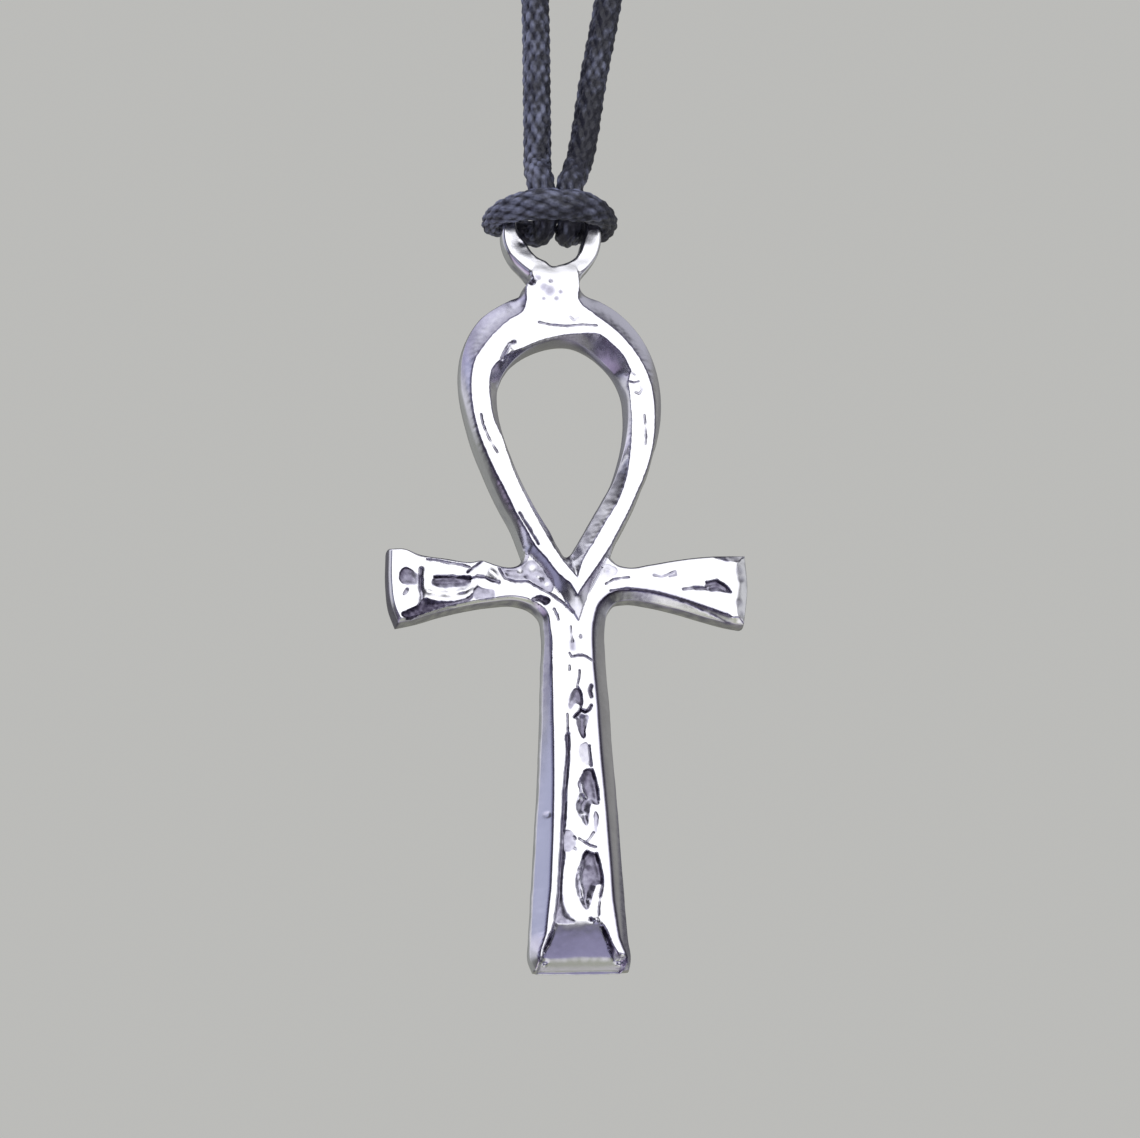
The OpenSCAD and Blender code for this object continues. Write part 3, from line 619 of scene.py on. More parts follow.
def ankh_edge(step):
    """The casting's outline closed over its hanging ring, its eye and the ring's hole."""
    middle_x, middle_z = RING_MIDDLE
    end, start = [math.atan2(z - middle_z, x - middle_x) for x, z in CASTING_OUTLINE[[0, -1], :2]]
    ring = [
        (middle_x + RING_RADIUS * math.cos(a), middle_z + RING_RADIUS * math.sin(a), 0.3, 0.4, 0)
        for a in np.linspace(start, end - 2 * math.pi, 22)[1:-1]
    ]
    eye = [(x, z, 0.1, depth, corner) for x, z, depth, corner in EYE_OUTLINE]
    hole = [(x, z, 0.2, 0.3, corner) for x, z, corner in RING_HOLE]
    return Edge([([*CASTING_OUTLINE, *ring], 1), (eye, -1), (hole, -1)], step)


def fine_points(edge):
    """Extra points along the fine lines, the hollows' edges and the borders of the faces."""
    grid = edge.grid(FINE_SPACING)
    wanted = np.zeros(len(grid), bool)
    closed = [outline for _, outline in HOLLOWS] + [LOOP_FACE, EYE_FACE, LOOP_FOOT]
    paths = [(line[:, :2], False) for _, line in LINES] + [(traced(rows, 0.2), True) for rows in closed]
    for path, whole in paths:
        near = near_box(grid, path, 0.2)
        near = near[~wanted[near]]
        away = to_line(grid[near], path, closed=whole)
        wanted[near[away < FINE_REACH]] = True
    return grid[wanted]


def upright(place, y):
    """Points in space from points of the casting's plane and their y."""
    return np.column_stack([place[:, 0], y, place[:, 1]])


def cast_ankh(sizes):
    """Points, faces and tarnish of the casting in millimetres, with painted shade in the tarnish: two sheets
    and the walls between them.
    """
    edge = ankh_edge(EDGE_STEP)
    front, front_faces = sheet_of(edge, FRONT_ROWS, FRONT_SPACING, fine_points(edge))
    back, back_faces = sheet_of(edge, BACK_ROWS, BACK_SPACING)
    border = len(edge.points)
    front_y, tarnish_and_shade = front_of(front, edge, sizes)
    back_y = back_of(back, edge, sizes)
    verts = [upright(front, front_y)]
    stain_and_shade = [tarnish_and_shade]
    faces = [front_faces]
    rings = [np.arange(border)]
    count = len(front)
    place, out = edge.place, -edge.inward
    flat = 1 - eased((place[:, 1] - NECK_TOP) / 1.2)
    at_eye = np.zeros(border)
    at_eye[edge.starts[1]:edge.starts[2]] = 0.30
    for share in WALL_ROWS:
        y = front_y[:border] * (1 - share) + back_y[:border] * share
        swell = math.sin(math.pi * share)
        puff = 0.08 * swell + 0.02 * share
        here = upright(place, y)
        bumps = 0.05 * rough(here, 1.6, 7) + 0.02 * rough(here, 0.6, 8)
        verts.append(upright(place + out * ((puff + bumps * swell) * flat)[:, None], y))
        # Painted shade on the walls that face down along the arms, darkest on the left arm's end wall; the
        # eye's walls are a little darker
        below = eased((-out[:, 1] - 0.3) / 0.4) * (place[:, 1] > 22) * (at_eye == 0)
        below = below * (0.20 + 0.35 * rough(here, 0.5, 15))
        left_end = 0.75 * eased((-11.6 - place[:, 0]) / 0.4)
        stain_and_shade.append(np.max([at_eye, left_end, below], axis=0))
        rings.append(np.arange(border) + count)
        count += border
    back[:border] = place + out * (0.02 * flat)[:, None]
    verts.append(upright(back, back_y))
    stain_and_shade.append(np.zeros(len(back)))
    rings.append(np.arange(border) + count)
    faces.append(back_faces[:, ::-1] + count)
    hole = np.arange(border) >= edge.starts[1]
    for a, b in zip(rings, rings[1:]):
        c, d = b[edge.after], a[edge.after]
        for wall in (np.column_stack([a, b, c]), np.column_stack([a, c, d])):
            faces.append(np.where(hole[:, None], wall, wall[:, ::-1]))
    return np.vstack(verts), np.vstack(faces), np.concatenate(stain_and_shade)


def hollowness(verts, faces, rounds):
    """How far each point of a closed mesh lies below its smoothed surroundings, in the mesh's own units."""
    ends = np.vstack([faces[:, [0, 1]], faces[:, [1, 2]], faces[:, [2, 0]]])
    ends = np.vstack([ends, ends[:, ::-1]])
    degree = np.bincount(ends[:, 0], minlength=len(verts))[:, None]
    moved = verts.copy()
    for _ in range(rounds):
        total = np.zeros_like(moved)
        for k in range(3):
            total[:, k] = np.bincount(ends[:, 0], moved[ends[:, 1], k], len(verts))
        moved = total / np.maximum(degree, 1)
    corner = verts[faces]
    facing = np.cross(corner[:, 1] - corner[:, 0], corner[:, 2] - corner[:, 0])
    normal = np.zeros_like(verts)
    for k in range(3):
        for j in range(3):
            normal[:, k] += np.bincount(faces[:, j], facing[:, k], len(verts))
    return ((moved - verts) * unit(normal)).sum(1)


def placed(name, data):
    """A new object in the scene, at the origin."""
    made = bpy.data.objects.new(name, data)
    bpy.context.scene.collection.objects.link(made)
    return made


def put_on_points(mesh, key, values):
    """Stores one number per point under a name."""
    mesh.attributes.new(key, "FLOAT", "POINT").data.foreach_set("value", values.astype(np.float32))


def mesh_object(name, verts, faces, material):
    """A smooth mesh object from points in metres."""
    mesh = bpy.data.meshes.new(name)
    mesh.from_pydata(verts.tolist(), [], faces.tolist())
    mesh.validate()
    mesh.shade_smooth()
    mesh.materials.append(material)
    return placed(name, mesh)


def operator(name, swapped=False):
    """A method that joins two values by a math node, with the other one first if they are swapped."""
    def method(self, other):
        return self.tree.node("ShaderNodeMath", [other, self] if swapped else [self, other], operation=name)
    return method


class Value:
    """A socket of a node tree that stands for a number in Python expressions."""

    def __init__(self, tree, socket):
        self.tree, self.socket = tree, socket

    __add__ = __radd__ = operator("ADD")
    __mul__ = __rmul__ = operator("MULTIPLY")
    __sub__, __rsub__ = operator("SUBTRACT"), operator("SUBTRACT", True)
    __truediv__, __rtruediv__ = operator("DIVIDE"), operator("DIVIDE", True)
    __pow__, __rpow__ = operator("POWER"), operator("POWER", True)

    def math(self, operation, *others):
        return self.tree.node("ShaderNodeMath", [self, *others], operation=operation)

    def eased(self, low, high):
        """0 at low, 1 at high, smooth between."""
        return self.tree.node(
            "ShaderNodeMapRange", [self, low, high, 0.0, 1.0], interpolation_type="SMOOTHSTEP"
        )


class Tree:
    """A node tree that is built by naming each node's type, its settings and what goes into its sockets."""

    def __init__(self, tree):
        self.tree = tree
        tree.nodes.clear()

    def link(self, value, socket):
        """Links a value of the tree to a socket, or sets the socket to a number, a vector or a colour."""
        if isinstance(value, Value):
            self.tree.links.new(value.socket, socket)
        elif socket.type == "RGBA":
            socket.default_value = (*value, 1)
        else:
            socket.default_value = value

    def node(self, kind, inputs=(), output=0, stops=(), **settings):
        """Adds a node and returns one of its outputs. Inputs are a list in order, or a dict by socket."""
        made = self.tree.nodes.new(kind)
        for key, value in settings.items():
            setattr(made, key, value)
        if len(stops):
            ramp = made.color_ramp
            while len(ramp.elements) < len(stops):
                ramp.elements.new(0.5)
            for element, (place, *colour) in zip(ramp.elements, stops):
                element.position, element.color = place, (*colour, 1)
        pairs = inputs.items() if isinstance(inputs, dict) else enumerate(inputs)
        for key, value in pairs:
            self.link(value, made.inputs[key])
        return Value(self, made.outputs[output]) if made.outputs else None

    def blend(self, share, first, second, kind="MIX"):
        """A colour from first at 0 to second at 1."""
        return self.node(
            "ShaderNodeMix", {0: share, 6: first, 7: second}, output=2, data_type="RGBA", blend_type=kind
        )

    def noise(self, place, scale, detail=3.0, roughness=0.5):
        return self.node(
            "ShaderNodeTexNoise", {"Vector": place, "Scale": scale, "Detail": detail, "Roughness": roughness}
        )

    def attribute(self, name):
        return self.node("ShaderNodeAttribute", output="Fac", attribute_name=name)

    def named(self, name):
        """A number that the mesh or curve carries, in a tree of geometry."""
        return self.node("GeometryNodeInputNamedAttribute", {"Name": name}, data_type="FLOAT")

    def stored(self, geometry, name, value):
        """Geometry whose points carry a number under a name."""
        return self.node(
            "GeometryNodeStoreNamedAttribute", {"Geometry": geometry, "Name": name, "Value": value},
            data_type="FLOAT", domain="POINT",
        )

    def surface(self, inputs, bump=None):
        """Ends a material with a Principled shader, over a bump of strength, distance and height."""
        if bump:
            values = dict(zip(("Strength", "Distance", "Height"), bump))
            inputs["Normal"] = self.node("ShaderNodeBump", values, output="Normal")
        self.node("ShaderNodeOutputMaterial", {"Surface": self.node("ShaderNodeBsdfPrincipled", inputs)})


def new_material(name):
    """A material, its tree and the object's own coordinates."""
    material = bpy.data.materials.new(name)
    material.use_nodes = True
    tree = Tree(material.node_tree)
    return material, tree, tree.node("ShaderNodeTexCoord", output="Object")


def cast_metal(finish):
    """Bright cast pewter: soft mirror faces, violet-grey tarnish in the hollows, faint olive stains, and the
    shade painted into the tarnish map.
    """
    material, tree, place = new_material("cast_metal")
    hollow = tree.attribute("hollow")
    # The map holds the casting's tarnish together with its painted shade
    painted = tree.attribute("tarnish_and_shade")
    cloud = tree.noise(place, 420.0, 4.0, 0.55)
    grain = tree.noise(place, 2600.0, 3.0, 0.6)
    speck = tree.noise(place, 4600.0, 2.0, 0.6)
    stain = tree.noise(place, 170.0, 2.0, 0.5)
    tarnish_and_shade = painted * (0.55 + cloud * 0.4 + speck * 0.5)
    tarnish_and_shade = tarnish_and_shade + (hollow + (cloud - 0.5) * 0.3).eased(0.5, 1.4) * 0.2
    tint = tree.blend(stain.eased(0.35, 0.65), (0.70, 0.69, 0.76), (0.74, 0.74, 0.68))
    base = tree.blend((cloud - 0.45).eased(0.0, 0.35) * 0.3, finish.metal_colour, tint)
    colour = tree.node("ShaderNodeValToRGB", [tarnish_and_shade], stops=table("""
        0 1 1 1, 0.28 0.62 0.61 0.7, 0.55 0.3 0.285 0.36, 0.8 0.13 0.115 0.165, 1 0.05 0.042 0.07
    """))
    tree.surface({
        "Base Color": tree.blend(1.0, base, colour, "MULTIPLY"),
        "Metallic": 1.0,
        "Roughness": finish.metal_roughness + (grain - 0.5) * 0.10 + tarnish_and_shade * 0.18,
    }, bump=(0.22, 0.0001, cloud * 0.5 + grain * 0.16))
    return material


def waxed_cord(finish):
    """Waxed braided cotton: blue-black gaps, yarn tops greyer from wear and from painted light, fine fibres
    and a dull sheen of wax.
    """
    material, tree, place = new_material("waxed_cord")
    rise = tree.attribute("rise")
    ply = tree.attribute("ply")
    fibre = tree.noise(place, 5200.0, 4.0, 0.65)
    fleck = tree.noise(place, 1500.0, 2.0, 0.5)
    patch = tree.noise(place, 230.0, 3.0, 0.6)
    # Painted light: the right strand is kept darker (across) and the front of the hitch lighter (front)
    across = tree.node("ShaderNodeSeparateXYZ", [place], output="X").eased(-0.002, 0.004)
    front = tree.node("ShaderNodeSeparateXYZ", [place], output="Y").eased(-0.0024, -0.0040)
    # Flecks and patches of wear together with the painted light on the left strand and the front
    lit_and_worn = (fleck - 0.38) * 2.2 + (patch - 0.42) * 2.0 - across * 0.3 + front * 0.24
    lit_and_worn = rise.eased(0.30, 1.0) * lit_and_worn
    base = tree.blend(lit_and_worn.eased(0.0, 1.0), finish.cord_dark, finish.cord_light)
    tree.surface({
        "Base Color": tree.blend((fibre - 0.60).eased(0.0, 0.16) * rise * 0.5, base, (0.235, 0.24, 0.33)),
        "Roughness": 0.38 + fibre * 0.22 + (1 - rise) * 0.15,
        "Specular IOR Level": 0.6,
        "Coat Weight": 0.3,
        "Coat Roughness": 0.32,
        "Coat Tint": (0.80, 0.86, 1.0),
    }, bump=(0.6, 0.00008, fibre * 0.5 + ply * 0.55 + fleck * 0.3))
    return material


def satin_metal(finish):
    """The barrel's plain satin steel, turned on a lathe."""
    material, tree, place = new_material("clasp_metal")
    turned = tree.node("ShaderNodeMapping", {"Vector": place, "Scale": (14.0, 0.4, 0.4)})
    lines = tree.noise(turned, 900.0, 4.0, 0.6)
    cloud = tree.noise(place, 300.0, 3.0, 0.5)
    tree.surface({
        "Base Color": tree.blend(cloud, finish.clasp_colour, (0.58, 0.57, 0.56)),
        "Metallic": 1.0,
        "Roughness": 0.24 + lines * 0.16 + cloud * 0.08,
    }, bump=(0.15, 0.00005, lines))
    return material


def floor_material(colour):
    """A pale matte floor."""
    material, tree, place = new_material("floor")
    cloud = tree.noise(place, 3.0, 2.0, 0.5)
    tree.surface({
        "Base Color": tree.blend(cloud, colour, [part * 0.96 for part in colour]),
        "Roughness": 0.9,
        "Emission Color": colour,
        "Emission Strength": 0.20,
    })
    return material


def smooth_path(points, step):
    """Points a step apart on a smooth open curve through points of any number of columns."""
    gap = np.linalg.norm(np.diff(points[:, :3], axis=0), axis=1)
    length = np.concatenate([[0], np.cumsum(gap)])
    slope = np.gradient(points, length, axis=0)
    at = np.linspace(0, length[-1], int(length[-1] / step) + 1)
    i = np.clip(np.searchsorted(length, at, "right") - 1, 0, len(gap) - 1)
    t = ((at - length[i]) / gap[i])[:, None]
    return hermite(t, points[i], slope[i], points[i + 1], slope[i + 1], gap[i][:, None])


def cord_path():
    """The whole cord in millimetres: down the left strand, round the ring and up the right strand."""
    left, right = [[(x, 0.0, z, 1.0) for x, z in strand] for strand in (LEFT_STRAND, RIGHT_STRAND)]
    path = smooth_path(np.vstack([left[::-1], HITCH_PATH, right]), PATH_STEP)
    path[:, :3] += (CORD_RING[0], 0, CORD_RING[2] + FOOT_Z / MM)
    return path


def braid_tree(name):
    """A tree that sweeps a braided cord along a line: two families of yarns that cross over and under."""
    group = bpy.data.node_groups.new(name, "GeometryNodeTree")
    face = group.interface
    face.new_socket("Geometry", in_out="INPUT", socket_type="NodeSocketGeometry")
    kinds = {
        "Diameter": "Float", "Carriers": "Int", "Pitch": "Float", "Yarn Height": "Float",
        "Ring Step": "Float", "Sides": "Int", "Start Length": "Float", "Material": "Material",
    }
    sockets = {
        key: face.new_socket(key, in_out="INPUT", socket_type="NodeSocket" + kind).identifier
        for key, kind in kinds.items()
    }
    face.new_socket("Geometry", in_out="OUTPUT", socket_type="NodeSocketGeometry")
    tree = Tree(group)
    source = group.nodes.new("NodeGroupInput")

    def given(key):
        return Value(tree, source.outputs[key])

    curve = tree.node("GeometryNodeMeshToCurve", [given("Geometry")])
    steps = {"Curve": curve, "Length": given("Ring Step")}
    curve = tree.node("GeometryNodeResampleCurve", steps, mode="LENGTH")
    length = tree.node("GeometryNodeSplineParameter", output="Length")
    curve = tree.stored(curve, "along", length + given("Start Length"))
    circle = tree.node(
        "GeometryNodeCurvePrimitiveCircle", {"Resolution": given("Sides"), "Radius": given("Diameter") / 2.0}
    )
    circle = tree.stored(circle, "around", tree.node("GeometryNodeSplineParameter", output="Factor"))
    tube = tree.node("GeometryNodeCurveToMesh", {
        "Curve": curve, "Profile Curve": circle, "Scale": tree.named("share"), "Fill Caps": True,
    })
    around = tree.named("around")
    turns = tree.named("along") / given("Pitch")
    one = (around + turns) * given("Carriers")
    two = (around - turns) * given("Carriers")
    heights, plies = [], []
    for mine, other, sign in ((one, two, 1.0), (two, one, -1.0)):
        across = mine.math("FRACT") - 0.5
        crown = 1.0 - (across.math("ABSOLUTE") * 2.0) ** 2.2
        wave = ((other - 0.5 + mine.math("FLOOR")) * math.pi).math("COSINE")
        heights.append(crown * 0.50 + wave * (0.30 * sign) + 0.20)
        plies.append((across * (6.0 * math.pi)).math("COSINE") * 0.5 + 0.5)
    height = heights[0].math("MAXIMUM", heights[1]).math("MAXIMUM", 0.0)
    over = heights[0].math("GREATER_THAN", heights[1])
    ply = plies[0] * over + plies[1] * (1.0 - over)
    tube = tree.stored(tree.stored(tube, "rise", height), "ply", ply)
    sunk = (height - 1.0 + (ply - 0.5) * 0.10) * given("Yarn Height")
    normal = tree.node("GeometryNodeInputNormal")
    offset = tree.node("ShaderNodeVectorMath", {0: normal, "Scale": sunk}, operation="SCALE")
    tube = tree.node("GeometryNodeSetPosition", {"Geometry": tube, "Offset": offset})
    tube = tree.node("GeometryNodeSetShadeSmooth", {"Geometry": tube, "Shade Smooth": True})
    tube = tree.node("GeometryNodeRealizeInstances", {"Geometry": tube})
    tube = tree.node("GeometryNodeSetMaterial", {"Geometry": tube, "Material": given("Material")})
    tree.node("NodeGroupOutput", {"Geometry": tube})
    return group, sockets


def braided(name, path, start, sizes, material, braid, mesh_size):
    """One stretch of the cord as a plain mesh at the origin. Start is how far along the cord it begins."""
    group, sockets = braid
    ring_step, sides = mesh_size
    line = bpy.data.meshes.new(name + "_line")
    line.from_pydata((path[:, :3] * MM).tolist(), [(i, i + 1) for i in range(len(path) - 1)], [])
    put_on_points(line, "share", path[:, 3])
    guide = placed(name + "_line", line)
    modifier = guide.modifiers.new("braid", "NODES")
    modifier.node_group = group
    values = {
        "Diameter": sizes.cord_diameter, "Carriers": sizes.carriers, "Pitch": sizes.braid_pitch,
        "Yarn Height": sizes.yarn_height, "Ring Step": ring_step, "Sides": sides,
        "Start Length": start * MM, "Material": material,
    }
    for key, value in values.items():
        modifier[sockets[key]] = value
    graph = bpy.context.evaluated_depsgraph_get()
    mesh = bpy.data.meshes.new_from_object(guide.evaluated_get(graph))
    mesh.name = name
    bpy.data.objects.remove(guide)
    bpy.data.meshes.remove(line)
    return placed(name, mesh)


def length_setting(name, description, millimetres):
    return FloatProperty(name=name, description=description, default=millimetres * MM, unit="LENGTH")


def angle_setting(name, description, degrees):
    return FloatProperty(name=name, description=description, default=math.radians(degrees), subtype="ANGLE")


def colour_setting(name, description, colour):
    return FloatVectorProperty(name=name, description=description, default=colour, subtype="COLOR")


class PendantCasting(bpy.types.PropertyGroup):
    thickness: length_setting("Thickness", "Thickness of the cast cross", 2.8)
    loop_step: length_setting("Loop step", "How far the loop's face stands in front of the cross", 0.42)
    metal_colour: colour_setting("Metal colour", "Colour of the polished metal", (0.86, 0.86, 0.88))
    metal_roughness: FloatProperty(
        name="Metal roughness", description="Roughness of the polished metal", default=0.20, subtype="FACTOR"
    )


class PendantCord(bpy.types.PropertyGroup):
    cord_diameter: length_setting("Diameter", "Diameter of the braided cord", 2.0)
    carriers: IntProperty(name="Carriers", description="Yarns that turn each way round the cord", default=8)
    braid_pitch: length_setting("Pitch", "Length of cord in which a yarn goes once round", 12.0)
    yarn_height: length_setting("Yarn height", "Depth of the gaps between the yarns", 0.30)
    cord_dark: colour_setting("Gap colour", "Colour deep in the braid", (0.006, 0.006, 0.013))
    # Colour of worn yarns, and of the sheen of the wax and the light on the cord painted into them
    cord_light: colour_setting("Lit and worn colour", "Colour of the worn yarns", (0.165, 0.175, 0.25))
    clasp_colour: colour_setting("Barrel colour", "Colour of the closing barrel", (0.42, 0.42, 0.44))


class PendantStage(bpy.types.PropertyGroup):
    azimuth: angle_setting("Azimuth", "How far round to the right the camera stands", -9)
    elevation: angle_setting("Elevation", "How far above the pendant the camera stands", -13)
    roll: angle_setting("Roll", "How far the picture is turned against the clock", 2.0)
    distance: length_setting("Distance", "From the camera to the pendant", 435.4)
    target: FloatVectorProperty(
        name="Target", description="Point in the middle of the picture, from the ankh's foot",
        default=(0.22 * MM, 0.0, 28.0 * MM), subtype="XYZ",
    )
    lens: FloatProperty(name="Lens", description="Focal length in millimetres", default=200.0)
    key_power: FloatProperty(
        name="Key light", description="Power of the key light", default=3.0, unit="POWER"
    )
    backdrop: colour_setting("Backdrop", "Colour of the floor and the surroundings", (0.50, 0.50, 0.485))


class PENDANT_OT_casting(bpy.types.Operator):
    """Cast the ankh with its hanging ring"""

    bl_idname = "pendant.casting"
    bl_label = "Cast the ankh"

    def execute(self, context):
        sizes = context.scene.pendant_casting
        verts, faces, tarnish_and_shade = cast_ankh(sizes)
        hollow = hollowness(verts, faces, rounds=9)
        verts = verts * MM
        verts[:, 2] += FOOT_Z
        piece = mesh_object("ankh_casting", verts, faces, cast_metal(sizes))
        put_on_points(piece.data, "hollow", np.clip(hollow / HOLLOW_FULL, -1, 1))
        put_on_points(piece.data, "tarnish_and_shade", tarnish_and_shade)
        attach(piece, "pendant")
        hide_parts("ankh")
        return {"FINISHED"}


class PENDANT_OT_cord(bpy.types.Operator):
    """Braid the cord, tie its hitch and run both strands up to the barrel"""

    bl_idname = "pendant.cord"
    bl_label = "Braid the cord"

    def execute(self, context):
        sizes = context.scene.pendant_cord
        material = waxed_cord(sizes)
        braid = braid_tree("braided_cord")
        path = cord_path()
        along = np.concatenate([[0], np.cumsum(np.linalg.norm(np.diff(path[:, :3], axis=0), axis=1))])
        top = CORD_RING[2] + NEAR_RISE + FOOT_Z / MM
        first, last = np.flatnonzero(path[:, 2] < top)[[0, -1]]
        near = braided("cord_knot", path[first:last + 1], along[first], sizes, material, braid, KNOT_MESH)
        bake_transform(near)
        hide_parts("cord_hitch")
        for name, node, part, start in (
            ("cord_strand_left", "cord_left", path[:first + 1], 0.0),
            ("cord_strand_right", "cord_right", path[last:], along[last]),
        ):
            strand = braided(name, part, start, sizes, material, braid, STRAND_MESH)
            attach(strand, "neck_loop")
            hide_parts(node)
        return {"FINISHED"}


class PENDANT_OT_clasp(bpy.types.Operator):
    """Turn the closing barrel"""

    bl_idname = "pendant.clasp"
    bl_label = "Turn the barrel"

    def execute(self, context):
        low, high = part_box("cord_clasp")
        half, radius = (high.x - low.x) / 2, (high.z - low.z) / 2
        seat, bore, edge, lip = 4.0 * MM, 1.1 * MM, 0.35 * MM, 0.12 * MM
        groove = radius - 0.16 * MM
        profile = [
            (0, half - seat), (bore, half - seat), (bore, half - lip), (bore + lip, half),
            (radius - edge, half), (radius - edge * 0.3, half - edge * 0.3), (radius, half - edge),
            (radius, half - 1.6 * MM), (groove, half - 1.75 * MM), (groove, half - 1.95 * MM),
            (radius, half - 2.1 * MM),
        ]
        profile += [(r, -x) for r, x in profile[::-1]]
        sides = 72
        angles = [2 * math.pi * k / sides for k in range(sides)]
        verts = [(x, r * math.cos(a), r * math.sin(a)) for r, x in profile for a in angles]
        faces = [
            (a, b, b + sides, a + sides)
            for i in range(0, len(verts) - sides, sides)
            for a, b in ((i + k, i + (k + 1) % sides) for k in range(sides))
        ]
        metal = satin_metal(context.scene.pendant_cord)
        piece = mesh_object("clasp_barrel", np.array(verts), np.array(faces), metal)
        mesh = bmesh.new()
        mesh.from_mesh(piece.data)
        bmesh.ops.remove_doubles(mesh, verts=mesh.verts, dist=1e-7)
        bmesh.ops.recalc_face_normals(mesh, faces=mesh.faces)
        mesh.to_mesh(piece.data)
        mesh.free()
        piece.data.transform(Matrix.Translation((low + high) / 2))
        piece.data.shade_smooth()
        piece.data.set_sharp_from_angle(angle=math.radians(35))
        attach(piece, "neck_loop")
        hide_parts("cord_clasp")
        return {"FINISHED"}


def direction(azimuth, elevation):
    """The way to a place round the pendant, by the azimuth and elevation that views use, in degrees."""
    a, e = math.radians(azimuth), math.radians(elevation)
    return Vector((math.sin(a) * math.cos(e), -math.cos(a) * math.cos(e), math.sin(e)))


# Soft patches of the surroundings that the metal mirrors: azimuth, elevation, inner and outer radius, all in
# degrees, and the colour that each adds to the dark ground
REFLECTED = table("""
8 15 17 46 1.4 1.4 1.44, -40 70 14 36 0.85 0.85 0.9, -96 56 8 32 0.36 0.36 0.42,
-94 13 10 26 0.4 0.42 0.58, -116 41 8 28 0.52 0.5 0.62, 103 50 10 30 0.42 0.42 0.48,
71 8 8 24 0.62 0.63 0.64, 108 14 6 20 0.18 0.18 0.165, 14 -52 10 26 0.32 0.305 0.46,
-106 -36 10 28 0.46 0.38 0.54, -134 18 8 22 0.4 0.39 0.48, -56 -25 8 20 0.34 0.34 0.5,
73 -18 6 20 0.42 0.39 0.48, -50 -78 10 24 0.58 0.55 0.66, 150 -74 16 42 0.4 0.42 0.31,
171 -50 8 24 0.24 0.21 0.29, 166 -12 12 32 0.2 0.205 0.155, 128 -17 10 28 0.5 0.505 0.53,
-142 -40 10 26 0.4 0.4 0.42, -150 12 14 38 0.25 0.26 0.235, 140 22 12 30 0.18 0.18 0.17
""")
GROUND = (0.040, 0.037, 0.052)
# The lamps: name, azimuth, elevation, distance and width in metres, and power as a share of the key light's
LAMPS = (("key", -38, 46, 0.75, 0.34, 1), ("fill", 52, 12, 0.9, 0.5, 0.35), ("rim", 160, 40, 0.9, 0.4, 0.5))
LAMP_AIM = 0.04
FLOOR_DROP = 0.12
FLOOR_REACH = 9.0


def light_surroundings(world, backdrop):
    """A pale backdrop for the camera, and a soft studio of bright and dark sides for light and metal."""
    world.use_nodes = True
    tree = Tree(world.node_tree)
    out = tree.node("ShaderNodeTexCoord", output="Generated")
    total = tree.node("ShaderNodeCombineColor", GROUND)
    for azimuth, elevation, inner, outer, *colour in REFLECTED:
        both = [out, direction(azimuth, elevation)]
        facing = tree.node("ShaderNodeVectorMath", both, output="Value", operation="DOT_PRODUCT")
        share = facing.eased(math.cos(math.radians(outer)), math.cos(math.radians(inner)))
        patch = tree.node("ShaderNodeVectorMath", {0: colour, "Scale": share}, operation="SCALE")
        total = tree.node("ShaderNodeVectorMath", [total, patch], operation="ADD")
    seen = tree.node("ShaderNodeLightPath", output="Is Camera Ray")
    shade = tree.node("ShaderNodeBackground", [tree.blend(seen, total, backdrop), 1.0])
    tree.node("ShaderNodeOutputWorld", {"Surface": shade})


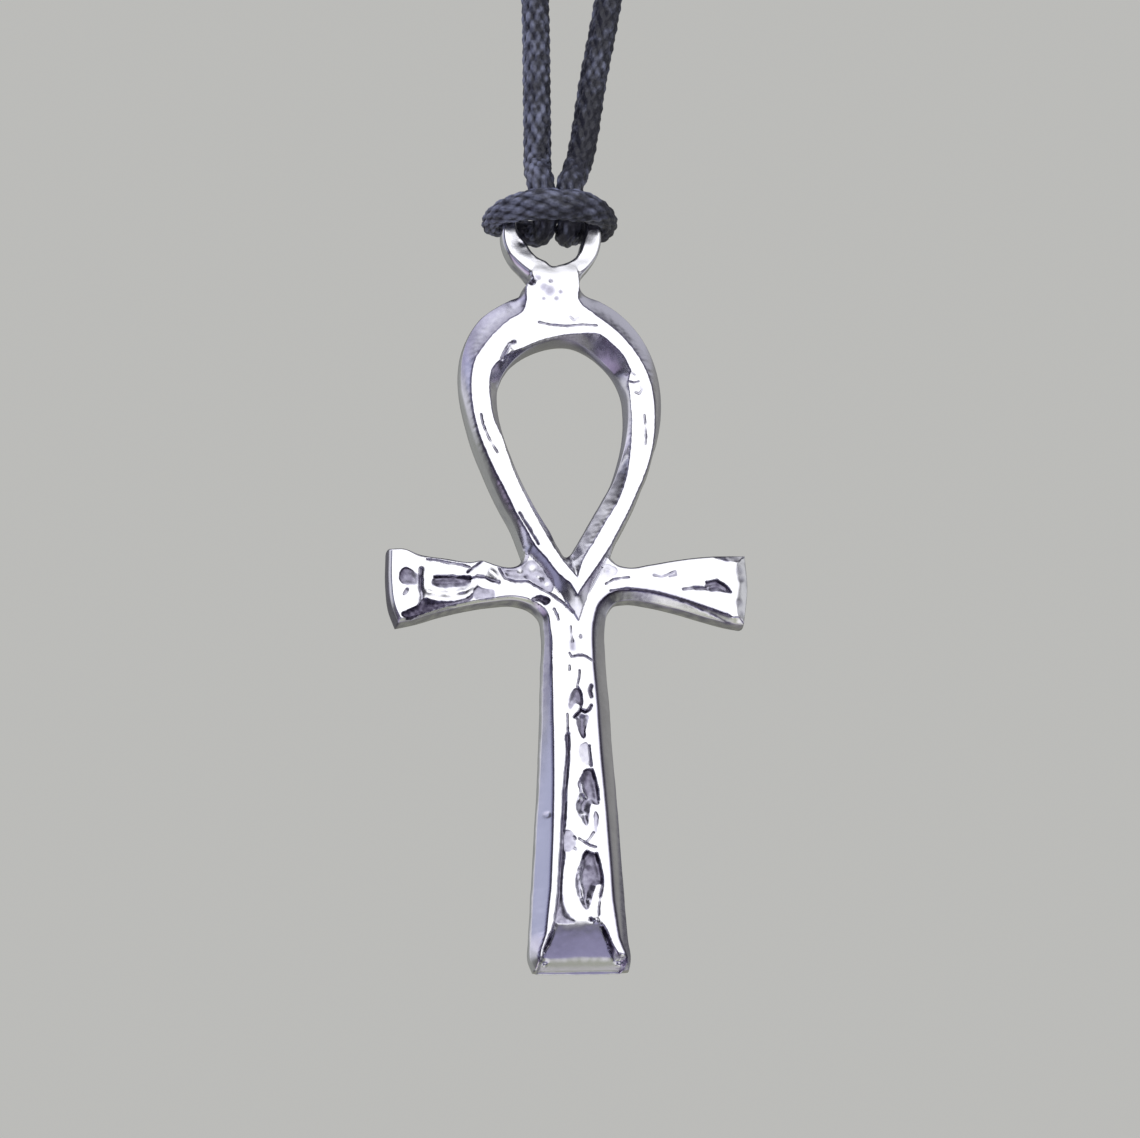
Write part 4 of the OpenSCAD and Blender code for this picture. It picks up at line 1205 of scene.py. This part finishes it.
class PENDANT_OT_stage(bpy.types.Operator):
    """Set the floor, the lights and the camera"""

    bl_idname = "pendant.stage"
    bl_label = "Set the stage"

    def execute(self, context):
        scene, stage = context.scene, context.scene.pendant_stage
        scene.view_settings.view_transform = "Standard"
        scene.world = scene.world or bpy.data.worlds.new("studio")
        light_surroundings(scene.world, stage.backdrop)
        corners = np.array([(-1, -1, 0), (1, -1, 0), (1, 1, 0), (-1, 1, 0)]) * FLOOR_REACH
        corners[:, 2] = FOOT_Z - FLOOR_DROP
        floor = mesh_object("floor", corners, np.array([(0, 1, 2, 3)]), floor_material(stage.backdrop))
        floor.visible_glossy = False

        for name, azimuth, elevation, away, wide, share in LAMPS:
            lamp = bpy.data.lights.new(name, "AREA")
            lamp.size, lamp.energy = wide, stage.key_power * share
            light = placed(name, lamp)
            towards = direction(azimuth, elevation)
            light.location = Vector((0, 0, FOOT_Z + LAMP_AIM)) + towards * away
            light.rotation_euler = towards.to_track_quat("Z", "Y").to_euler()
            light.visible_glossy = False

        data = bpy.data.cameras.new("camera")
        data.lens, data.sensor_width = stage.lens, 36.0
        data.clip_start, data.clip_end = 0.01, 30.0
        camera = placed("camera", data)
        back = direction(math.degrees(stage.azimuth), math.degrees(stage.elevation))
        right = Vector((math.cos(stage.azimuth), math.sin(stage.azimuth), 0))
        up = back.cross(right)
        c, s = math.cos(stage.roll), math.sin(stage.roll)
        spot = Matrix((right * c - up * s, right * s + up * c, back)).transposed().to_4x4()
        spot.translation = Vector(stage.target) + Vector((0, 0, FOOT_Z)) + back * stage.distance
        camera.matrix_world = spot
        scene.camera = camera
        return {"FINISHED"}


class PENDANT_PT_panel(bpy.types.Panel):
    bl_idname = "PENDANT_PT_panel"
    bl_label = "Ankh pendant"
    bl_space_type = "VIEW_3D"
    bl_region_type = "UI"
    bl_category = "Pendant"

    def draw(self, context):
        groups = (
            (context.scene.pendant_casting, (PENDANT_OT_casting,)),
            (context.scene.pendant_cord, (PENDANT_OT_cord, PENDANT_OT_clasp)),
            (context.scene.pendant_stage, (PENDANT_OT_stage,)),
        )
        for sizes, operators in groups:
            box = self.layout.box()
            for key in sizes.__annotations__:
                box.prop(sizes, key)
            for kind in operators:
                box.operator(kind.bl_idname)


CLASSES = (
    PendantCasting, PendantCord, PendantStage, PENDANT_OT_casting, PENDANT_OT_cord, PENDANT_OT_clasp,
    PENDANT_OT_stage, PENDANT_PT_panel,
)


def register():
    for cls in CLASSES:
        bpy.utils.register_class(cls)
    bpy.types.Scene.pendant_casting = PointerProperty(type=PendantCasting)
    bpy.types.Scene.pendant_cord = PointerProperty(type=PendantCord)
    bpy.types.Scene.pendant_stage = PointerProperty(type=PendantStage)


def unregister():
    del bpy.types.Scene.pendant_casting, bpy.types.Scene.pendant_cord, bpy.types.Scene.pendant_stage
    for cls in reversed(CLASSES):
        bpy.utils.unregister_class(cls)


def main():
    register()
    bpy.ops.pendant.stage()
    bpy.ops.pendant.casting()
    bpy.ops.pendant.cord()
    bpy.ops.pendant.clasp()


if __name__ == "__main__":
    main()
